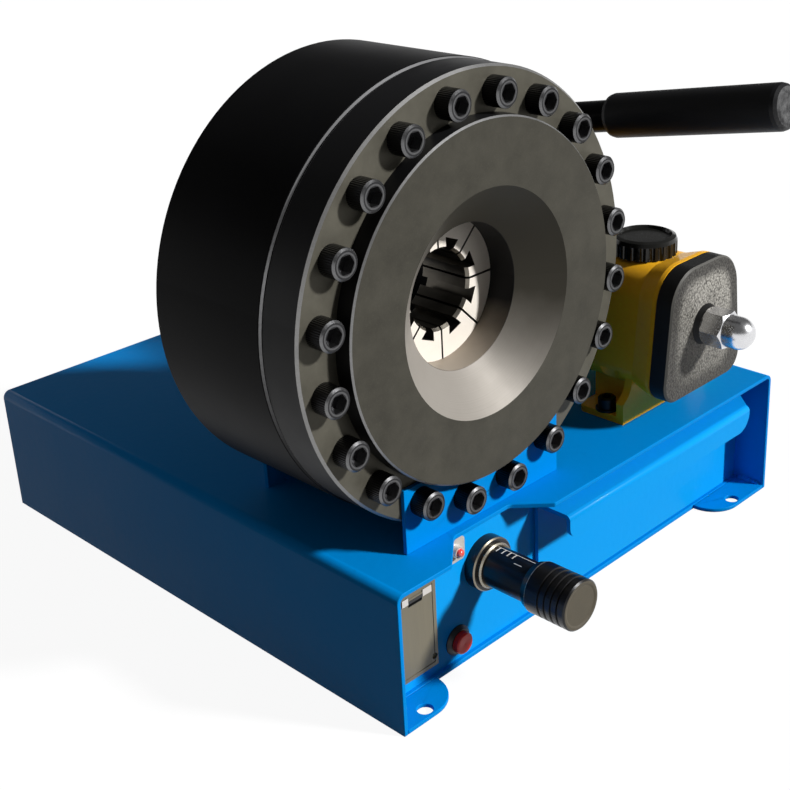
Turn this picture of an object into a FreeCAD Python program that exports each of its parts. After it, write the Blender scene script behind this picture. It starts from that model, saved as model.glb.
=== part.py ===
# Bench hose crimping machine: a hand pump drives an annular piston whose conical bore
# closes eight dies. X runs to the right, Y to the back and Z up, in millimetres.
# The origin is the middle of the four foot holes, on the surface that the base stands on.
import math
import os

import FreeCAD, Part
from FreeCAD import Rotation, Vector

# Base
foot_hole_spacing_x = 334.0
foot_hole_spacing_y = 418.0
foot_hole_diameter = 10.0
left_inset = 24.0
right_inset = 36.0
front_inset = 7.0
base_height = 97.0
sheet = 3.0
bend_radius = 6.0
floor_plate_recess = 23.5
panel_setback = 3.0
ear_reach = 27.0
ear_corner_radius = 22.5
ear_hole_radius = foot_hole_diameter / 2

# Deck notch over the micrometer
notch_left = 45.0
notch_right = 139.5
notch_depth = 21.0
notch_flare_left = 24.0
notch_flare_right = 20.0
notch_corner = 6.0

# Crimping head
head_offset_x = 104.0
head_above_deck = 2.0
head_setback = 30.0
cover_step = 1.0
cover_thickness = 29.0
cover_hole_radius = 45.0
boss_bolt_gap = 12.0
boss_height = 12.0
mouth_radius = 70.0
mouth_depth = 21.4
body_length = 96.0
bolt_outer_wall = 16.0
bolt_inner_wall = 12.0
rear_wall = 15.0
hub_radius = 60.0
hub_bore_radius = 47.0
hub_end_gap = 1.4
edge_chamfer = 1.5
rear_chamfer = 3.0

# Cap screws of the head
bolt_count = 20
bolt_first_angle = 9.0
bolt_shank_radius = 6.0
bolt_head_radius = 9.0
bolt_head_height = 12.0
bolt_hex = 10.0
bolt_hex_depth = 6.5
bolt_thread_depth = 20.0
bolt_hole_clearance = 0.5
bolt_head_rim = 1.2
bolt_end_gap = 1.0
rear_bolt_floor = 2.0

# Support brackets
bracket_sheet = 3.0
bracket_over_bolt = 11.7
bracket_left = 35.0
bracket_right = 174.0
bracket_arc_clearance = 1.5

# Dies and piston
die_count = 8
die_bore_radius = 24.5
die_length = 40.0
die_back_radius = 92.0
die_side_gap = 0.3
die_lead_in = 1.8
die_close_travel = 1.5
die_open_travel = 12.0
die_open_clearance = 4.5
die_axial_clearance = 0.1
cone_half_angle = 25.0
cone_clearance = 0.3
slot_mouth = 5.5
slot_floor = 11.5
slot_depth = 7.0
guide_pin_radius = 4.0
guide_pin_length = 26.0
guide_pin_seat = 11.0
guide_pin_clearance = 0.3
guide_pin_station = 60.0
spring_wire = 1.4
spring_radius = 5.9
spring_pocket_radius = 6.9
spring_pocket_depth = 6.5
spring_turns = 3
spring_end_gap = 0.1
piston_front_gap = 3.5
piston_land = 11.0
piston_fit = 0.05
seal_width = 4.0
seal_depth = 3.0
stop_clearance = 0.4

# Follower arm from the piston to the micrometer spindle
arm_width = 12.0
arm_thickness = 10.0
arm_seat_depth = 7.0
arm_slot_clearance = 1.0
arm_pad_width = 24.0
arm_pad_height = 22.0
arm_pad_corner = 4.0

# Micrometer stop
micrometer_offset_x = 100.5
micrometer_drop = 34.0
micrometer_reach = 78.3
micrometer_flange_radius = 18.0
micrometer_flange_thickness = 8.0
micrometer_flange_edge = 7.2
micrometer_flange_taper = 0.8
micrometer_ring_radius = 15.2
micrometer_ring_thickness = 2.8
micrometer_barrel_radius = 13.2
thimble_length = 35.3
thimble_wall = 2.9
thimble_floor = 3.0
thimble_end_wall = 1.2
thimble_bevel = 4.5
thimble_lip = 1.2
thimble_end_recess = 0.5
thimble_end_rim = 2.5
thimble_clearance = 0.5
thimble_groove = 0.9
thimble_groove_pitch = 4.9
thimble_groove_count = 4
thimble_groove_start = 5.5
thimble_groove_half = 1.0
thimble_groove_floor = 0.6
spindle_radius = 4.0
spindle_fit = 0.05
spindle_gap = 8.5
spindle_point = 1.5
barrel_end_room = 12.0
barrel_tail = 8.0

# Indicator lamp
lamp_offset_x = 74.0
lamp_drop = 14.2
lamp_bezel_size = 16.2
lamp_bezel_thickness = 1.5
lamp_body_radius = 4.4
lamp_lens_radius = 2.9
lamp_stand = 6.2
lamp_bezel_corner = 3.0
lamp_body_length = 14.0
lamp_collar_height = 3.5
lamp_collar_taper = 0.6
lamp_lens_seat = 4.0

# Push button
button_height = 17.0
button_bezel_radius = 10.3
button_bezel_stand = 3.0
button_cap_radius = 7.2
button_cap_stand = 7.0
button_travel = 2.5
button_fit = 0.2
button_body_radius = 8.5
button_body_depth = 24.0
button_body_floor = 2.0
button_bezel_face = 1.0
button_bezel_edge = 0.8
button_cap_length = 12.0
button_cap_dish = 0.4
button_cap_rim = 2.5
button_cap_edge = 0.8

# Battery box
battery_offset_x = 37.6
battery_box_height = 42.2
battery_box_width = 34.0
battery_box_tall = 62.5
battery_box_flange = 2.0
battery_box_wall = 1.1
battery_width = 26.0
battery_thick = 17.0
battery_tall = 48.0
battery_clearance = 0.3
battery_rim = 1.5
battery_box_corner = 1.0
battery_box_spare = 2.0
battery_front_sunk = 0.3
battery_front_plate = 1.5
battery_tray_sheet = 1.0
battery_slot_low = 7.2
battery_grip_start = 8.2
battery_grip_end = 19.6
battery_grip_low = 4.9
battery_grip_high = 1.4
battery_strip_start = 2.6
battery_strip_end = 27.6
battery_strip_high = 0.2
battery_strip_gap = 0.4
battery_strip_stand = 0.6
battery_latch_drop = 7.0
battery_latch_radius = 2.2
battery_latch_depth = 1.2
battery_corner = 1.5
battery_terminal_height = 1.2
battery_terminal_spread = 6.3
battery_terminal_large = 4.5
battery_terminal_small = 3.0
battery_headroom = 3.0

# Die drawer
drawer_left = 149.5
drawer_right = 370.5
drawer_bottom = 6.5
drawer_top_drop = 13.0
drawer_gap = 0.5
drawer_lip_reach = 27.0
drawer_lip_drop = 18.0
drawer_lip_left_corner = 9.0
drawer_lip_right_corner = 13.0
drawer_tray_wall = 1.5
drawer_tray_depth = 250.0
drawer_tray_inset = 8.0
drawer_tray_drop = 12.5
drawer_opening_clearance = 1.5
drawer_rail_width = 14.0
drawer_rail_guide = 18.0
drawer_bend = 4.0
drawer_inner_bend = 1.0
drawer_lip_cut = 11.5
drawer_lip_top_corner = 2.0
drawer_divider_share = 0.5
drawer_divider_height = 37.0
rail_start = 1.0
rail_past_tray = 20.0
rail_play = 0.3
rail_side_play = 0.5
rail_sheet = 2.0

# Hand pump
pump_offset_x = 304.0
pump_axis_height = 68.6
cap_front = 2.0
cap_thickness = 12.0
gasket_thickness = 1.5
tank_length = 190.0
tank_bottom = 20.5
tank_top = 113.5
tank_bottom_half = 47.0
tank_top_half = 37.0
tank_bottom_corner = 14.0
tank_top_corner = 26.0
tank_flange = 3.0
tank_flare = 14.0
tank_waist = 4.0
tank_wall = 5.0
foot_half_width = 50.4
foot_setback = 17.5
foot_length = 40.0
foot_plate = 5.0
foot_wall = 6.0
foot_wall_edge = 15.0
foot_wall_rise = 45.0
foot_bolt_spread = 44.0
foot_bolt_setback = 19.0
foot_front_corner = 3.0
foot_rear_corner = 6.0
foot_web_inset = 5.0
foot_web_run = 4.0
foot_web_drop = 7.0
foot_web_round = 12.0
foot_wall_corner = 2.0
foot_pillar_inset = 8.0
tank_least_corner = 3.0
tank_bottom_corner_share = 0.5
tank_top_corner_share = 0.7
gasket_inset = 0.6
washer_room = 0.6
washer_room_height = 30.0
cap_boss_radius = 13.0
cap_boss_height = 4.0
cap_boss_taper = 2.0
cap_edge = 1.2
tie_rod_clearance = 0.3
nut_across_flats = 24.0
nut_hex_height = 16.0
nut_dome_radius = 11.4
nut_dome_stand = 7.0
nut_base_chamfer = 0.9
nut_shoulder_run = 2.2
nut_shoulder_rise = 1.4
nut_thread_past_hex = 4.0
tie_rod_end_gap = 0.5
tie_rod_radius = 8.0
tie_rod_seat = 12.0
filler_setback = 38.5
filler_cap_radius = 22.8
filler_cap_height = 13.5
filler_cap_recess = 2.2
filler_cap_lift = 0.5
filler_cap_edge = 3.6
filler_cap_edge_share = 0.29
filler_cap_rim = 4.0
filler_cap_rim_slope = 1.0
filler_flute_radius = 2.4
filler_flute_out = 0.9
filler_flute_top = 3.7
filler_rib_count = 22
filler_neck_radius = 16.0
filler_neck_wall = 4.0
filler_neck_rise = 5.0
filler_fit = 0.3
filler_seal_thickness = 2.0

# Pump block and lever
block_length = 58.0
block_half_width = 38.0
block_top = 108.0
block_foot = 12.0
block_foot_half = 50.0
block_corner = 5.0
block_foot_setback = 10.0
block_foot_corner = 6.0
block_bolt_inset = 14.0
pivot_setback = 44.5
pivot_height = 172.0
pivot_radius = 6.0
pivot_fit = 0.05
ear_gap = 14.0
ear_thickness = 10.0
ear_radius = 15.0
ear_root = 4.0
ear_spread = 8.0
ear_flat = 0.5
pivot_stand = 3.0
pivot_head_rim = 2.5
pivot_head_thickness = 2.8
plunger_offset = 22.0
plunger_drop = 4.0
plunger_radius = 8.0
plunger_fit = 0.05
plunger_top_drop = 26.0
plunger_down = 150.0
plunger_bore_spare = 20.0
plunger_tongue = 6.0
tongue_flat = 0.5
tongue_root = 8.0
tongue_corner = 7.0
plunger_pin_radius = 4.0
plunger_pin_room = 6.3
plunger_pin_shift = 1.1
plunger_pin_sunk = 0.3
gland_across_flats = 24.0
gland_height = 10.0
cheek_gap = 0.8
cheek_thickness = 5.5
cheek_half_height = 11.0
cheek_lobe = 19.5
cheek_rear_corner = 8.0
cheek_front_corner = 3.0
cheek_flat = 0.5
cheek_overlap = 4.0
lobe_corner = 6.0
lobe_ahead = 9.0
lobe_behind = 7.0
yoke_bridge = 8.0
lever_rise = 10.3
lever_reach = 309.0
lever_tube_radius = 11.0
lever_tube_wall = 3.0
lever_tube_plug = 2.0
grip_radius = 15.3
grip_length = 138.0
grip_end = 4.0
grip_edge = 5.0
socket_radius = 15.0
socket_start = 36.0
socket_length = 60.0
socket_root = 2.0
tube_seat = 10.0
lever_up = 45.0
lever_down = 14.0
plunger_per_radian = 21.2
knob_radius = 13.0
knob_length = 22.0
knob_height = 40.0
knob_stand = 6.0
knob_stem_radius = 6.0
knob_stem_depth = 18.0
knob_end_gap = 0.5
knob_fit = 0.05
knob_flute_count = 8
knob_flute_radius = 3.0
knob_flute_out = 1.0

# Pressure line
pipe_radius = 5.0
pipe_wall = 1.5
pipe_bend = 16.0
pipe_port_radius = 85.0
pipe_entry_setback = 14.0
pipe_entry_height = 50.0
fitting_across_flats = 19.0
fitting_length = 14.0
fitting_collar_wall = 2.5
fitting_collar_length = 6.0

# Washers, nuts and small screws
deck_bolt_radius = 4.0
deck_bolt_head = 6.5
deck_bolt_head_height = 8.0
deck_bolt_rim = 0.8
deck_bolt_hex = 6.0
deck_bolt_hex_depth = 4.0
deck_nut_flats = 13.0
deck_nut_thickness = 6.5
washer_radius = 8.0
washer_thickness = 1.6
deck_bolt_grip = 12.0
panel_nut_thickness = 4.0
micrometer_nut_flats = 36.0
lamp_nut_flats = 12.0
button_nut_flats = 22.0

# Shared by many pieces: small chamfers, and how far a cut runs past a face
chamfer = 1.0
past = 1.0

# Places worked out from the sizes above
left = -(foot_hole_spacing_x / 2 + left_inset)
right = foot_hole_spacing_x / 2 + right_inset
front = -(foot_hole_spacing_y / 2 + front_inset)
back = foot_hole_spacing_y / 2 + front_inset
deck_under = base_height - sheet
plate_front = front + floor_plate_recess
plate_back = back - floor_plate_recess
panel_front = plate_front + panel_setback
panel_back = plate_back - panel_setback
cylinder_bore_radius = die_back_radius + die_close_travel + die_open_travel + die_open_clearance
bolt_circle_radius = cylinder_bore_radius + bolt_inner_wall
body_radius = bolt_circle_radius + bolt_outer_wall
cover_radius = body_radius - cover_step
boss_radius = bolt_circle_radius - boss_bolt_gap
head_x = left + head_offset_x
head_z = base_height + head_above_deck + body_radius
cover_face = front + head_setback
boss_face = cover_face - boss_height
joint_plane = cover_face + cover_thickness
body_rear = joint_plane + body_length
chamber_end = body_rear - rear_wall
taper = math.tan(math.radians(cone_half_angle))
piston_open = die_open_travel / taper
piston_close = die_close_travel / taper
die_front = joint_plane + die_axial_clearance
die_rear = die_front + die_length
piston_front = joint_plane + piston_front_gap
land_front = die_rear + piston_close + stop_clearance
land_rear = land_front + piston_land
micrometer_x = left + micrometer_offset_x
micrometer_height = base_height - micrometer_drop
thimble_radius = micrometer_barrel_radius + thimble_clearance + thimble_wall
lamp_height = base_height - lamp_drop
drawer_top = base_height - drawer_top_drop
tray_bottom = drawer_bottom + sheet
tray_top = drawer_top - drawer_tray_drop
pump_x = left + pump_offset_x
cap_face = front + cap_front
cap_rear = cap_face + cap_thickness
tank_front = cap_rear + gasket_thickness
tank_rear = tank_front + tank_length
block_front = tank_rear + gasket_thickness
block_rear = block_front + block_length
tie_z = base_height + pump_axis_height
pivot_y = block_front + pivot_setback
pivot_z = base_height + pivot_height
plunger_y = pivot_y - plunger_offset
plunger_z = pivot_z - plunger_drop
lever_angle = math.radians(lever_rise)


def box(x0, x1, y0, y1, z0, z1):
    return Part.makeBox(x1 - x0, y1 - y0, z1 - z0, Vector(x0, y0, z0))


def rod_y(radius, y0, y1, x, z):
    return Part.makeCylinder(radius, y1 - y0, Vector(x, y0, z), Vector(0, 1, 0))


def rod_x(radius, x0, x1, y, z):
    return Part.makeCylinder(radius, x1 - x0, Vector(x0, y, z), Vector(1, 0, 0))


def rod_z(radius, z0, z1, x, y):
    return Part.makeCylinder(radius, z1 - z0, Vector(x, y, z0), Vector(0, 0, 1))


def turned_y(profile, x, z):
    """Revolve (radius, y) points about a line along Y through x, z."""
    points = [Vector(r, y, 0) for r, y in profile]
    face = Part.Face(Part.makePolygon(points + points[:1]))
    solid = face.revolve(Vector(0, 0, 0), Vector(0, 1, 0), 360)
    solid.translate(Vector(x, 0, z))
    return solid


def turned_z(profile, x, y):
    """Revolve (radius, z) points about a vertical line through x, y."""
    points = [Vector(r, 0, z) for r, z in profile]
    face = Part.Face(Part.makePolygon(points + points[:1]))
    solid = face.revolve(Vector(0, 0, 0), Vector(0, 0, 1), 360)
    solid.translate(Vector(x, y, 0))
    return solid


def hex_y(across_flats, y0, y1, x, z):
    radius = across_flats / math.sqrt(3)
    corners = []
    for k in range(6):
        turn = math.radians(60 * k)
        corners.append(Vector(x + radius * math.cos(turn), y0, z + radius * math.sin(turn)))
    face = Part.Face(Part.makePolygon(corners + corners[:1]))
    return face.extrude(Vector(0, y1 - y0, 0))


def hex_z(across_flats, z0, z1, x, y):
    solid = hex_y(across_flats, 0, z1 - z0, 0, 0)
    solid.rotate(Vector(0, 0, 0), Vector(1, 0, 0), 90)
    solid.translate(Vector(x, y, z0))
    return solid


def hex_x(across_flats, x0, x1, y, z):
    solid = hex_y(across_flats, 0, x1 - x0, 0, 0)
    solid.rotate(Vector(0, 0, 0), Vector(0, 0, 1), -90)
    solid.translate(Vector(x0, y, z))
    return solid


def rounded_wire(corners):
    """Closed wire through (point, radius) corners, each rounded by its radius."""
    count = len(corners)
    edges = []
    starts = []
    ends = []
    for k in range(count):
        before = corners[k - 1][0]
        here, radius = corners[k]
        after = corners[(k + 1) % count][0]
        into = (before - here).normalize()
        out = (after - here).normalize()
        half = math.acos(max(-1.0, min(1.0, into.dot(out)))) / 2
        if radius <= 0:
            starts.append(here)
            ends.append(here)
            continue
        reach = radius / math.tan(half)
        middle = here + (into + out).normalize() * (radius / math.sin(half) - radius)
        first = here + into * reach
        last = here + out * reach
        edges.append((k, Part.Arc(first, middle, last).toShape()))
        starts.append(first)
        ends.append(last)
    arcs = dict(edges)
    ordered = []
    for k in range(count):
        if k in arcs:
            ordered.append(arcs[k])
        following = starts[(k + 1) % count]
        if ends[k].distanceToPoint(following) > 1e-6:
            ordered.append(Part.LineSegment(ends[k], following).toShape())
    return Part.Wire(ordered)


def on_y(points, y):
    """Corners (x, z, radius) placed on the plane at y."""
    return [(Vector(x, y, z), r) for x, z, r in points]


def prism_y(points, y0, y1):
    face = Part.Face(rounded_wire(on_y(points, y0)))
    return face.extrude(Vector(0, y1 - y0, 0))


def plate_y(x, z, half_width, half_height, corner, y0, y1):
    """Rectangle with equal round corners about x, z, extruded along Y."""
    return prism_y([(x - half_width, z - half_height, corner),
                    (x + half_width, z - half_height, corner),
                    (x + half_width, z + half_height, corner),
                    (x - half_width, z + half_height, corner)], y0, y1)


def prism_x(points, x0, x1):
    """Extrude (y, z, radius) corners along X."""
    corners = [(Vector(x0, y, z), r) for y, z, r in points]
    return Part.Face(rounded_wire(corners)).extrude(Vector(x1 - x0, 0, 0))


def prism_z(points, z0, z1):
    """Extrude (x, y, radius) corners upwards."""
    corners = [(Vector(x, y, z0), r) for x, y, r in points]
    return Part.Face(rounded_wire(corners)).extrude(Vector(0, 0, z1 - z0))


def fuse(shapes):
    whole = shapes[0]
    if len(shapes) > 1:
        whole = shapes[0].multiFuse(shapes[1:])
    return whole.removeSplitter()


def group(shapes):
    return Part.makeCompound(shapes)


def save(name, shape):
    shape.exportStep("parts/" + name + ".step")


def bolt_angle(k):
    return math.radians(90 + bolt_first_angle + k * 360.0 / bolt_count)


def bolt_place(k):
    turn = bolt_angle(k)
    return head_x + bolt_circle_radius * math.cos(turn), head_z + bolt_circle_radius * math.sin(turn)


def on_bracket(k):
    """The four lowest screws pass through the support bracket."""
    return math.sin(bolt_angle(k)) < -math.cos(math.radians(2 * 360.0 / bolt_count))


# Sheet steel base
def base_shell():
    inner = bend_radius - sheet
    outer_form = prism_y([(left, 0, 0), (right, 0, 0), (right, base_height, bend_radius),
                          (left, base_height, bend_radius)], front, back)
    inner_form = prism_y([(left + sheet, -past, 0), (right - sheet, -past, 0),
                          (right - sheet, deck_under, inner), (left + sheet, deck_under, inner)],
                         front - past, back + past)
    shell = outer_form.cut(inner_form)
    notch = prism_z([(left + notch_left, front - past, 0), (left + notch_left, front, 0),
                     (left + notch_left + notch_flare_left, front + notch_depth, notch_corner),
                     (left + notch_right - notch_flare_right, front + notch_depth, notch_corner),
                     (left + notch_right, front, 0), (left + notch_right, front - past, 0)],
                    deck_under - past, base_height + past)
    cuts = [notch, arm_slot(deck_under - past, base_height + past)]
    for x, y in pump_bolt_places():
        cuts.append(rod_z(deck_bolt_radius, deck_under - past, base_height + past, x, y))
    return shell.cut(group(cuts))


def arm_slot(z0, z1):
    """Room for the follower arm over the whole travel of the piston."""
    arm_front = piston_front + stop_clearance
    half = arm_width / 2 + arm_slot_clearance
    return box(head_x - half, head_x + half, arm_front - piston_close - arm_slot_clearance,
               arm_front + arm_thickness + piston_open + arm_slot_clearance, z0, z1)


def bottom_plate():
    return prism_x([(plate_front, 0, 0), (plate_back, 0, 0), (plate_back, sheet, 0),
                    (plate_front, sheet, chamfer)], left + sheet, right - sheet)


def foot_ears():
    ears = []
    for side, hole_x in ((1, -foot_hole_spacing_x / 2), (-1, foot_hole_spacing_x / 2)):
        wall = left + sheet if side > 0 else right - sheet
        reach = hole_x + side * ear_reach
        for face, plate in ((front, plate_front), (back, plate_back)):
            corners = [(wall, face, 0), (reach, face, ear_corner_radius), (reach, plate, 0),
                       (wall, plate, 0)]
            ear = prism_z(corners, 0, sheet)
            hole_y = math.copysign(foot_hole_spacing_y / 2, face)
            ears.append(ear.cut(rod_z(ear_hole_radius, -past, sheet + past, hole_x, hole_y)))
    return group(ears)


def drawer_opening(y0, y1, room):
    edge = drawer_tray_inset - room
    return box(left + drawer_left + edge, left + drawer_right - edge, y0, y1,
               tray_bottom - room, tray_top + room)


def panel_sheet(y0):
    """Upright panel between the side walls, rounded into the bends of the deck."""
    corner = bend_radius - sheet
    return prism_y([(left + sheet, sheet, 0), (right - sheet, sheet, 0),
                    (right - sheet, deck_under, corner), (left + sheet, deck_under, corner)],
                   y0, y0 + sheet)


def front_panel():
    panel = panel_sheet(panel_front)
    y0 = panel_front - past
    y1 = panel_front + sheet + past
    battery_x = left + battery_offset_x
    half = battery_box_width / 2 - battery_rim
    tall = battery_box_tall / 2 - battery_rim
    cuts = [drawer_opening(y0, y1, drawer_opening_clearance),
            box(battery_x - half, battery_x + half, y0, y1,
                battery_box_height - tall, battery_box_height + tall),
            rod_y(lamp_body_radius, y0, y1, left + lamp_offset_x, lamp_height),
            rod_y(button_body_radius, y0, y1, left + lamp_offset_x, button_height),
            rod_y(micrometer_barrel_radius, y0, y1, micrometer_x, micrometer_height)]
    return panel.cut(group(cuts))


def rear_panel():
    return panel_sheet(panel_back - sheet)


def bracket(y0, arc_radius, bolts):
    """Plate from the deck to just above the bolts that hold it, cut out round the boss."""
    x0 = left + bracket_left
    x1 = left + bracket_right
    top = max(bolt_place(k)[1] for k in bolts) + bracket_over_bolt
    plate = box(x0, x1, y0, y0 + bracket_sheet, base_height, top)
    cuts = [rod_y(arc_radius, y0 - past, y0 + bracket_sheet + past, head_x, head_z)]
    for k in bolts:
        x, z = bolt_place(k)
        cuts.append(rod_y(bolt_shank_radius + bolt_hole_clearance, y0 - past,
                          y0 + bracket_sheet + past, x, z))
    return plate.cut(group(cuts))


def bracket_bolts():
    return [k for k in range(bolt_count) if on_bracket(k)]


def front_bracket():
    return bracket(cover_face - bracket_sheet, boss_radius + bracket_arc_clearance, bracket_bolts())


def rear_bracket():
    return bracket(body_rear, boss_radius + bracket_arc_clearance, bracket_bolts())


# Crimping head
def head_body():
    c = edge_chamfer
    profile = [(cylinder_bore_radius, joint_plane), (body_radius - c, joint_plane),
               (body_radius, joint_plane + c), (body_radius, body_rear - rear_chamfer),
               (body_radius - rear_chamfer, body_rear), (hub_bore_radius, body_rear),
               (hub_bore_radius, die_rear + hub_end_gap), (hub_radius, die_rear + hub_end_gap),
               (hub_radius, chamber_end), (cylinder_bore_radius, chamber_end)]
    body = turned_y(profile, head_x, head_z)
    cuts = [arm_slot(base_height, head_z - cylinder_bore_radius + arm_seat_depth)]
    for k in range(bolt_count):
        x, z = bolt_place(k)
        cuts.append(rod_y(bolt_shank_radius, joint_plane - past, joint_plane + bolt_thread_depth, x, z))
        if on_bracket(k):
            cuts.append(rod_y(bolt_shank_radius, body_rear - rear_bolt_depth(), body_rear + past, x, z))
    cuts.append(rod_y(pipe_radius - pipe_wall, chamber_end - past, body_rear + past,
                      head_x + pipe_port_radius, head_z))
    return body.cut(group(cuts))


def rear_bolt_depth():
    return rear_wall - rear_bolt_floor


def head_cover():
    c = edge_chamfer
    profile = [(cover_hole_radius, joint_plane), (cover_hole_radius, boss_face + mouth_depth),
               (mouth_radius, boss_face), (boss_radius - chamfer, boss_face),
               (boss_radius, boss_face + chamfer), (boss_radius, cover_face),
               (cover_radius - c, cover_face), (cover_radius, cover_face + c),
               (cover_radius, joint_plane - c), (cover_radius - c, joint_plane)]
    cover = turned_y(profile, head_x, head_z)
    holes = []
    for k in range(bolt_count):
        x, z = bolt_place(k)
        holes.append(rod_y(bolt_shank_radius + bolt_hole_clearance, cover_face - past,
                           joint_plane + past, x, z))
    return cover.cut(group(holes))


def cap_screw(x, z, seat, direction, length):
    """Socket head cap screw: its head stands on the plane at seat."""
    rim = bolt_head_rim
    profile = [(0, 0), (bolt_head_radius, 0), (bolt_head_radius, bolt_head_height - rim),
               (bolt_head_radius - rim, bolt_head_height), (0, bolt_head_height)]
    head = turned_y(profile, 0, 0)
    shank = rod_y(bolt_shank_radius, -length, 0, 0, 0)
    socket = hex_y(bolt_hex, bolt_head_height - bolt_hex_depth, bolt_head_height + past, 0, 0)
    screw = head.fuse(shank).cut(socket)
    if direction < 0:
        screw.rotate(Vector(0, 0, 0), Vector(0, 0, 1), 180)
    screw.translate(Vector(x, seat, z))
    return screw


def head_bolts():
    screws = []
    for k in range(bolt_count):
        x, z = bolt_place(k)
        seat = cover_face - bracket_sheet if on_bracket(k) else cover_face
        screws.append(cap_screw(x, z, seat, -1, joint_plane - seat + bolt_thread_depth - bolt_end_gap))
        if on_bracket(k):
            screws.append(cap_screw(x, z, body_rear + bracket_sheet, 1,
                                    bracket_sheet + rear_bolt_depth() - bolt_end_gap))
    return group(screws)


# Piston with a conical bore
def cone_radius(y):
    """Radius of the piston's conical bore at rest, at the plane y."""
    return die_back_radius - (y - die_front) * taper + die_close_travel + cone_clearance


def piston():
    r = cylinder_bore_radius - piston_fit
    hole = hub_radius + piston_fit
    c = chamfer
    groove = r - seal_depth
    seal_front = land_front + (piston_land - seal_width) / 2
    seal_rear = seal_front + seal_width
    inner_groove = hole + seal_depth
    profile = [(cone_radius(piston_front), piston_front), (r - c, piston_front),
               (r, piston_front + c), (r, seal_front), (groove, seal_front), (groove, seal_rear),
               (r, seal_rear), (r, land_rear - c), (r - c, land_rear), (hole, land_rear),
               (hole, seal_rear), (inner_groove, seal_rear), (inner_groove, seal_front),
               (hole, seal_front), (hole, land_front), (cone_radius(land_front), land_front)]
    ring = turned_y(profile, head_x, head_z)
    return ring.cut(arm_block(head_z - cylinder_bore_radius - past))


def piston_seals():
    seal_front = land_front + (piston_land - seal_width) / 2
    y0 = seal_front + piston_fit
    y1 = seal_front + seal_width - piston_fit
    outer = cylinder_bore_radius - piston_fit
    inner = hub_radius + piston_fit
    rings = []
    for inside, outside in ((outer - seal_depth, outer), (inner, inner + seal_depth)):
        profile = [(inside, y0), (outside, y0), (outside, y1), (inside, y1)]
        rings.append(turned_y(profile, head_x, head_z))
    return group(rings)


def arm_block(z0):
    """The upper end of the follower arm, let into the underside of the piston."""
    top = head_z - cylinder_bore_radius + arm_seat_depth
    y0 = piston_front + stop_clearance
    return box(head_x - arm_width / 2, head_x + arm_width / 2, y0, y0 + arm_thickness, z0, top)


def follower_arm():
    pad_z = micrometer_height
    y0 = piston_front + stop_clearance
    bar = arm_block(pad_z)
    pad = plate_y(head_x, pad_z, arm_pad_width / 2, arm_pad_height / 2, arm_pad_corner,
                  y0, y0 + arm_thickness)
    return fuse([bar, pad])


# Dies
def die_wedge():
    """Sector of one die in its closed place, with its middle along +X from the Y axis."""
    half = math.pi / die_count
    reach = die_back_radius / math.cos(half) + past
    apex = die_side_gap / 2 / math.sin(half)
    corner_x = apex + reach * math.cos(half)
    corner_z = reach * math.sin(half)
    return prism_y([(apex, 0, 0), (corner_x, -corner_z, 0), (corner_x, corner_z, 0)],
                   die_front - past, die_rear + past)


def side_feature(shape, side):
    """Turn a shape made along +Z from the origin onto one side face of a die."""
    half = 180.0 / die_count
    placed = shape.copy()
    placed.rotate(Vector(0, 0, 0), Vector(0, 1, 0), -half)
    if side < 0:
        placed = placed.mirror(Vector(0, 0, 0), Vector(0, 0, 1))
    return placed


def die_closed_radius():
    return die_bore_radius - die_close_travel


def pin_rod(radius, z0, z1):
    middle = (die_front + die_rear) / 2
    return rod_z(radius, z0, z1, guide_pin_station, middle)


def die_body():
    bore = die_closed_radius()
    profile = [(bore + die_lead_in, die_front), (die_back_radius, die_front),
               (die_back_radius - die_length * taper, die_rear), (bore + die_lead_in, die_rear),
               (bore, die_rear - die_lead_in), (bore, die_front + die_lead_in)]
    body = turned_y(profile, 0, 0).common(die_wedge())
    slot = prism_y([(bore - past, -slot_mouth / 2, 0), (bore, -slot_mouth / 2, 0),
                    (bore + slot_depth, -slot_floor / 2, 0), (bore + slot_depth, slot_floor / 2, 0),
                    (bore, slot_mouth / 2, 0), (bore - past, slot_mouth / 2, 0)],
                   die_front - past, die_rear + past)
    gap = die_side_gap / 2
    pocket = pin_rod(spring_pocket_radius, -gap - spring_pocket_depth, past)
    seat = pin_rod(guide_pin_radius, -gap - spring_pocket_depth - guide_pin_seat, past)
    slide = pin_rod(guide_pin_radius + guide_pin_clearance,
                    -gap - guide_pin_length + guide_pin_seat, past)
    cuts = [slot, side_feature(pocket, 1), side_feature(seat, 1),
            side_feature(pocket, -1), side_feature(slide, -1)]
    return body.cut(group(cuts))


def guide_pin():
    start = -die_side_gap / 2 - spring_pocket_depth - guide_pin_seat
    return side_feature(pin_rod(guide_pin_radius, start, start + guide_pin_length), 1)


def die_angle(k):
    return 360.0 / die_count * (k - 0.5)


def place_die(shape, k):
    """Move a closed die out to its rest place and turn it to its station."""
    placed = shape.copy()
    placed.translate(Vector(die_close_travel, 0, 0))
    placed.rotate(Vector(0, 0, 0), Vector(0, 1, 0), -die_angle(k))
    placed.translate(Vector(head_x, 0, head_z))
    return placed


def die(k):
    return group([place_die(die_body(), k), place_die(guide_pin(), k)])


def die_springs():
    """Coil springs on the guide pins, seated in the pockets of both neighbours."""
    gap = die_side_gap + 2 * die_close_travel * math.sin(math.pi / die_count)
    length = gap + 2 * spring_pocket_depth - spring_wire - 2 * spring_end_gap
    middle = (die_front + die_rear) / 2
    half_turn = math.pi / die_count
    station = guide_pin_station + die_close_travel * math.cos(half_turn)
    coil = spring_coil(length)
    springs = []
    for k in range(die_count):
        placed = coil.copy()
        placed.translate(Vector(station, middle, -length / 2))
        placed.rotate(Vector(0, 0, 0), Vector(0, 1, 0), -die_angle(k) - 180.0 / die_count)
        placed.translate(Vector(head_x, 0, head_z))
        springs.append(placed)
    return group(springs)


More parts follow.
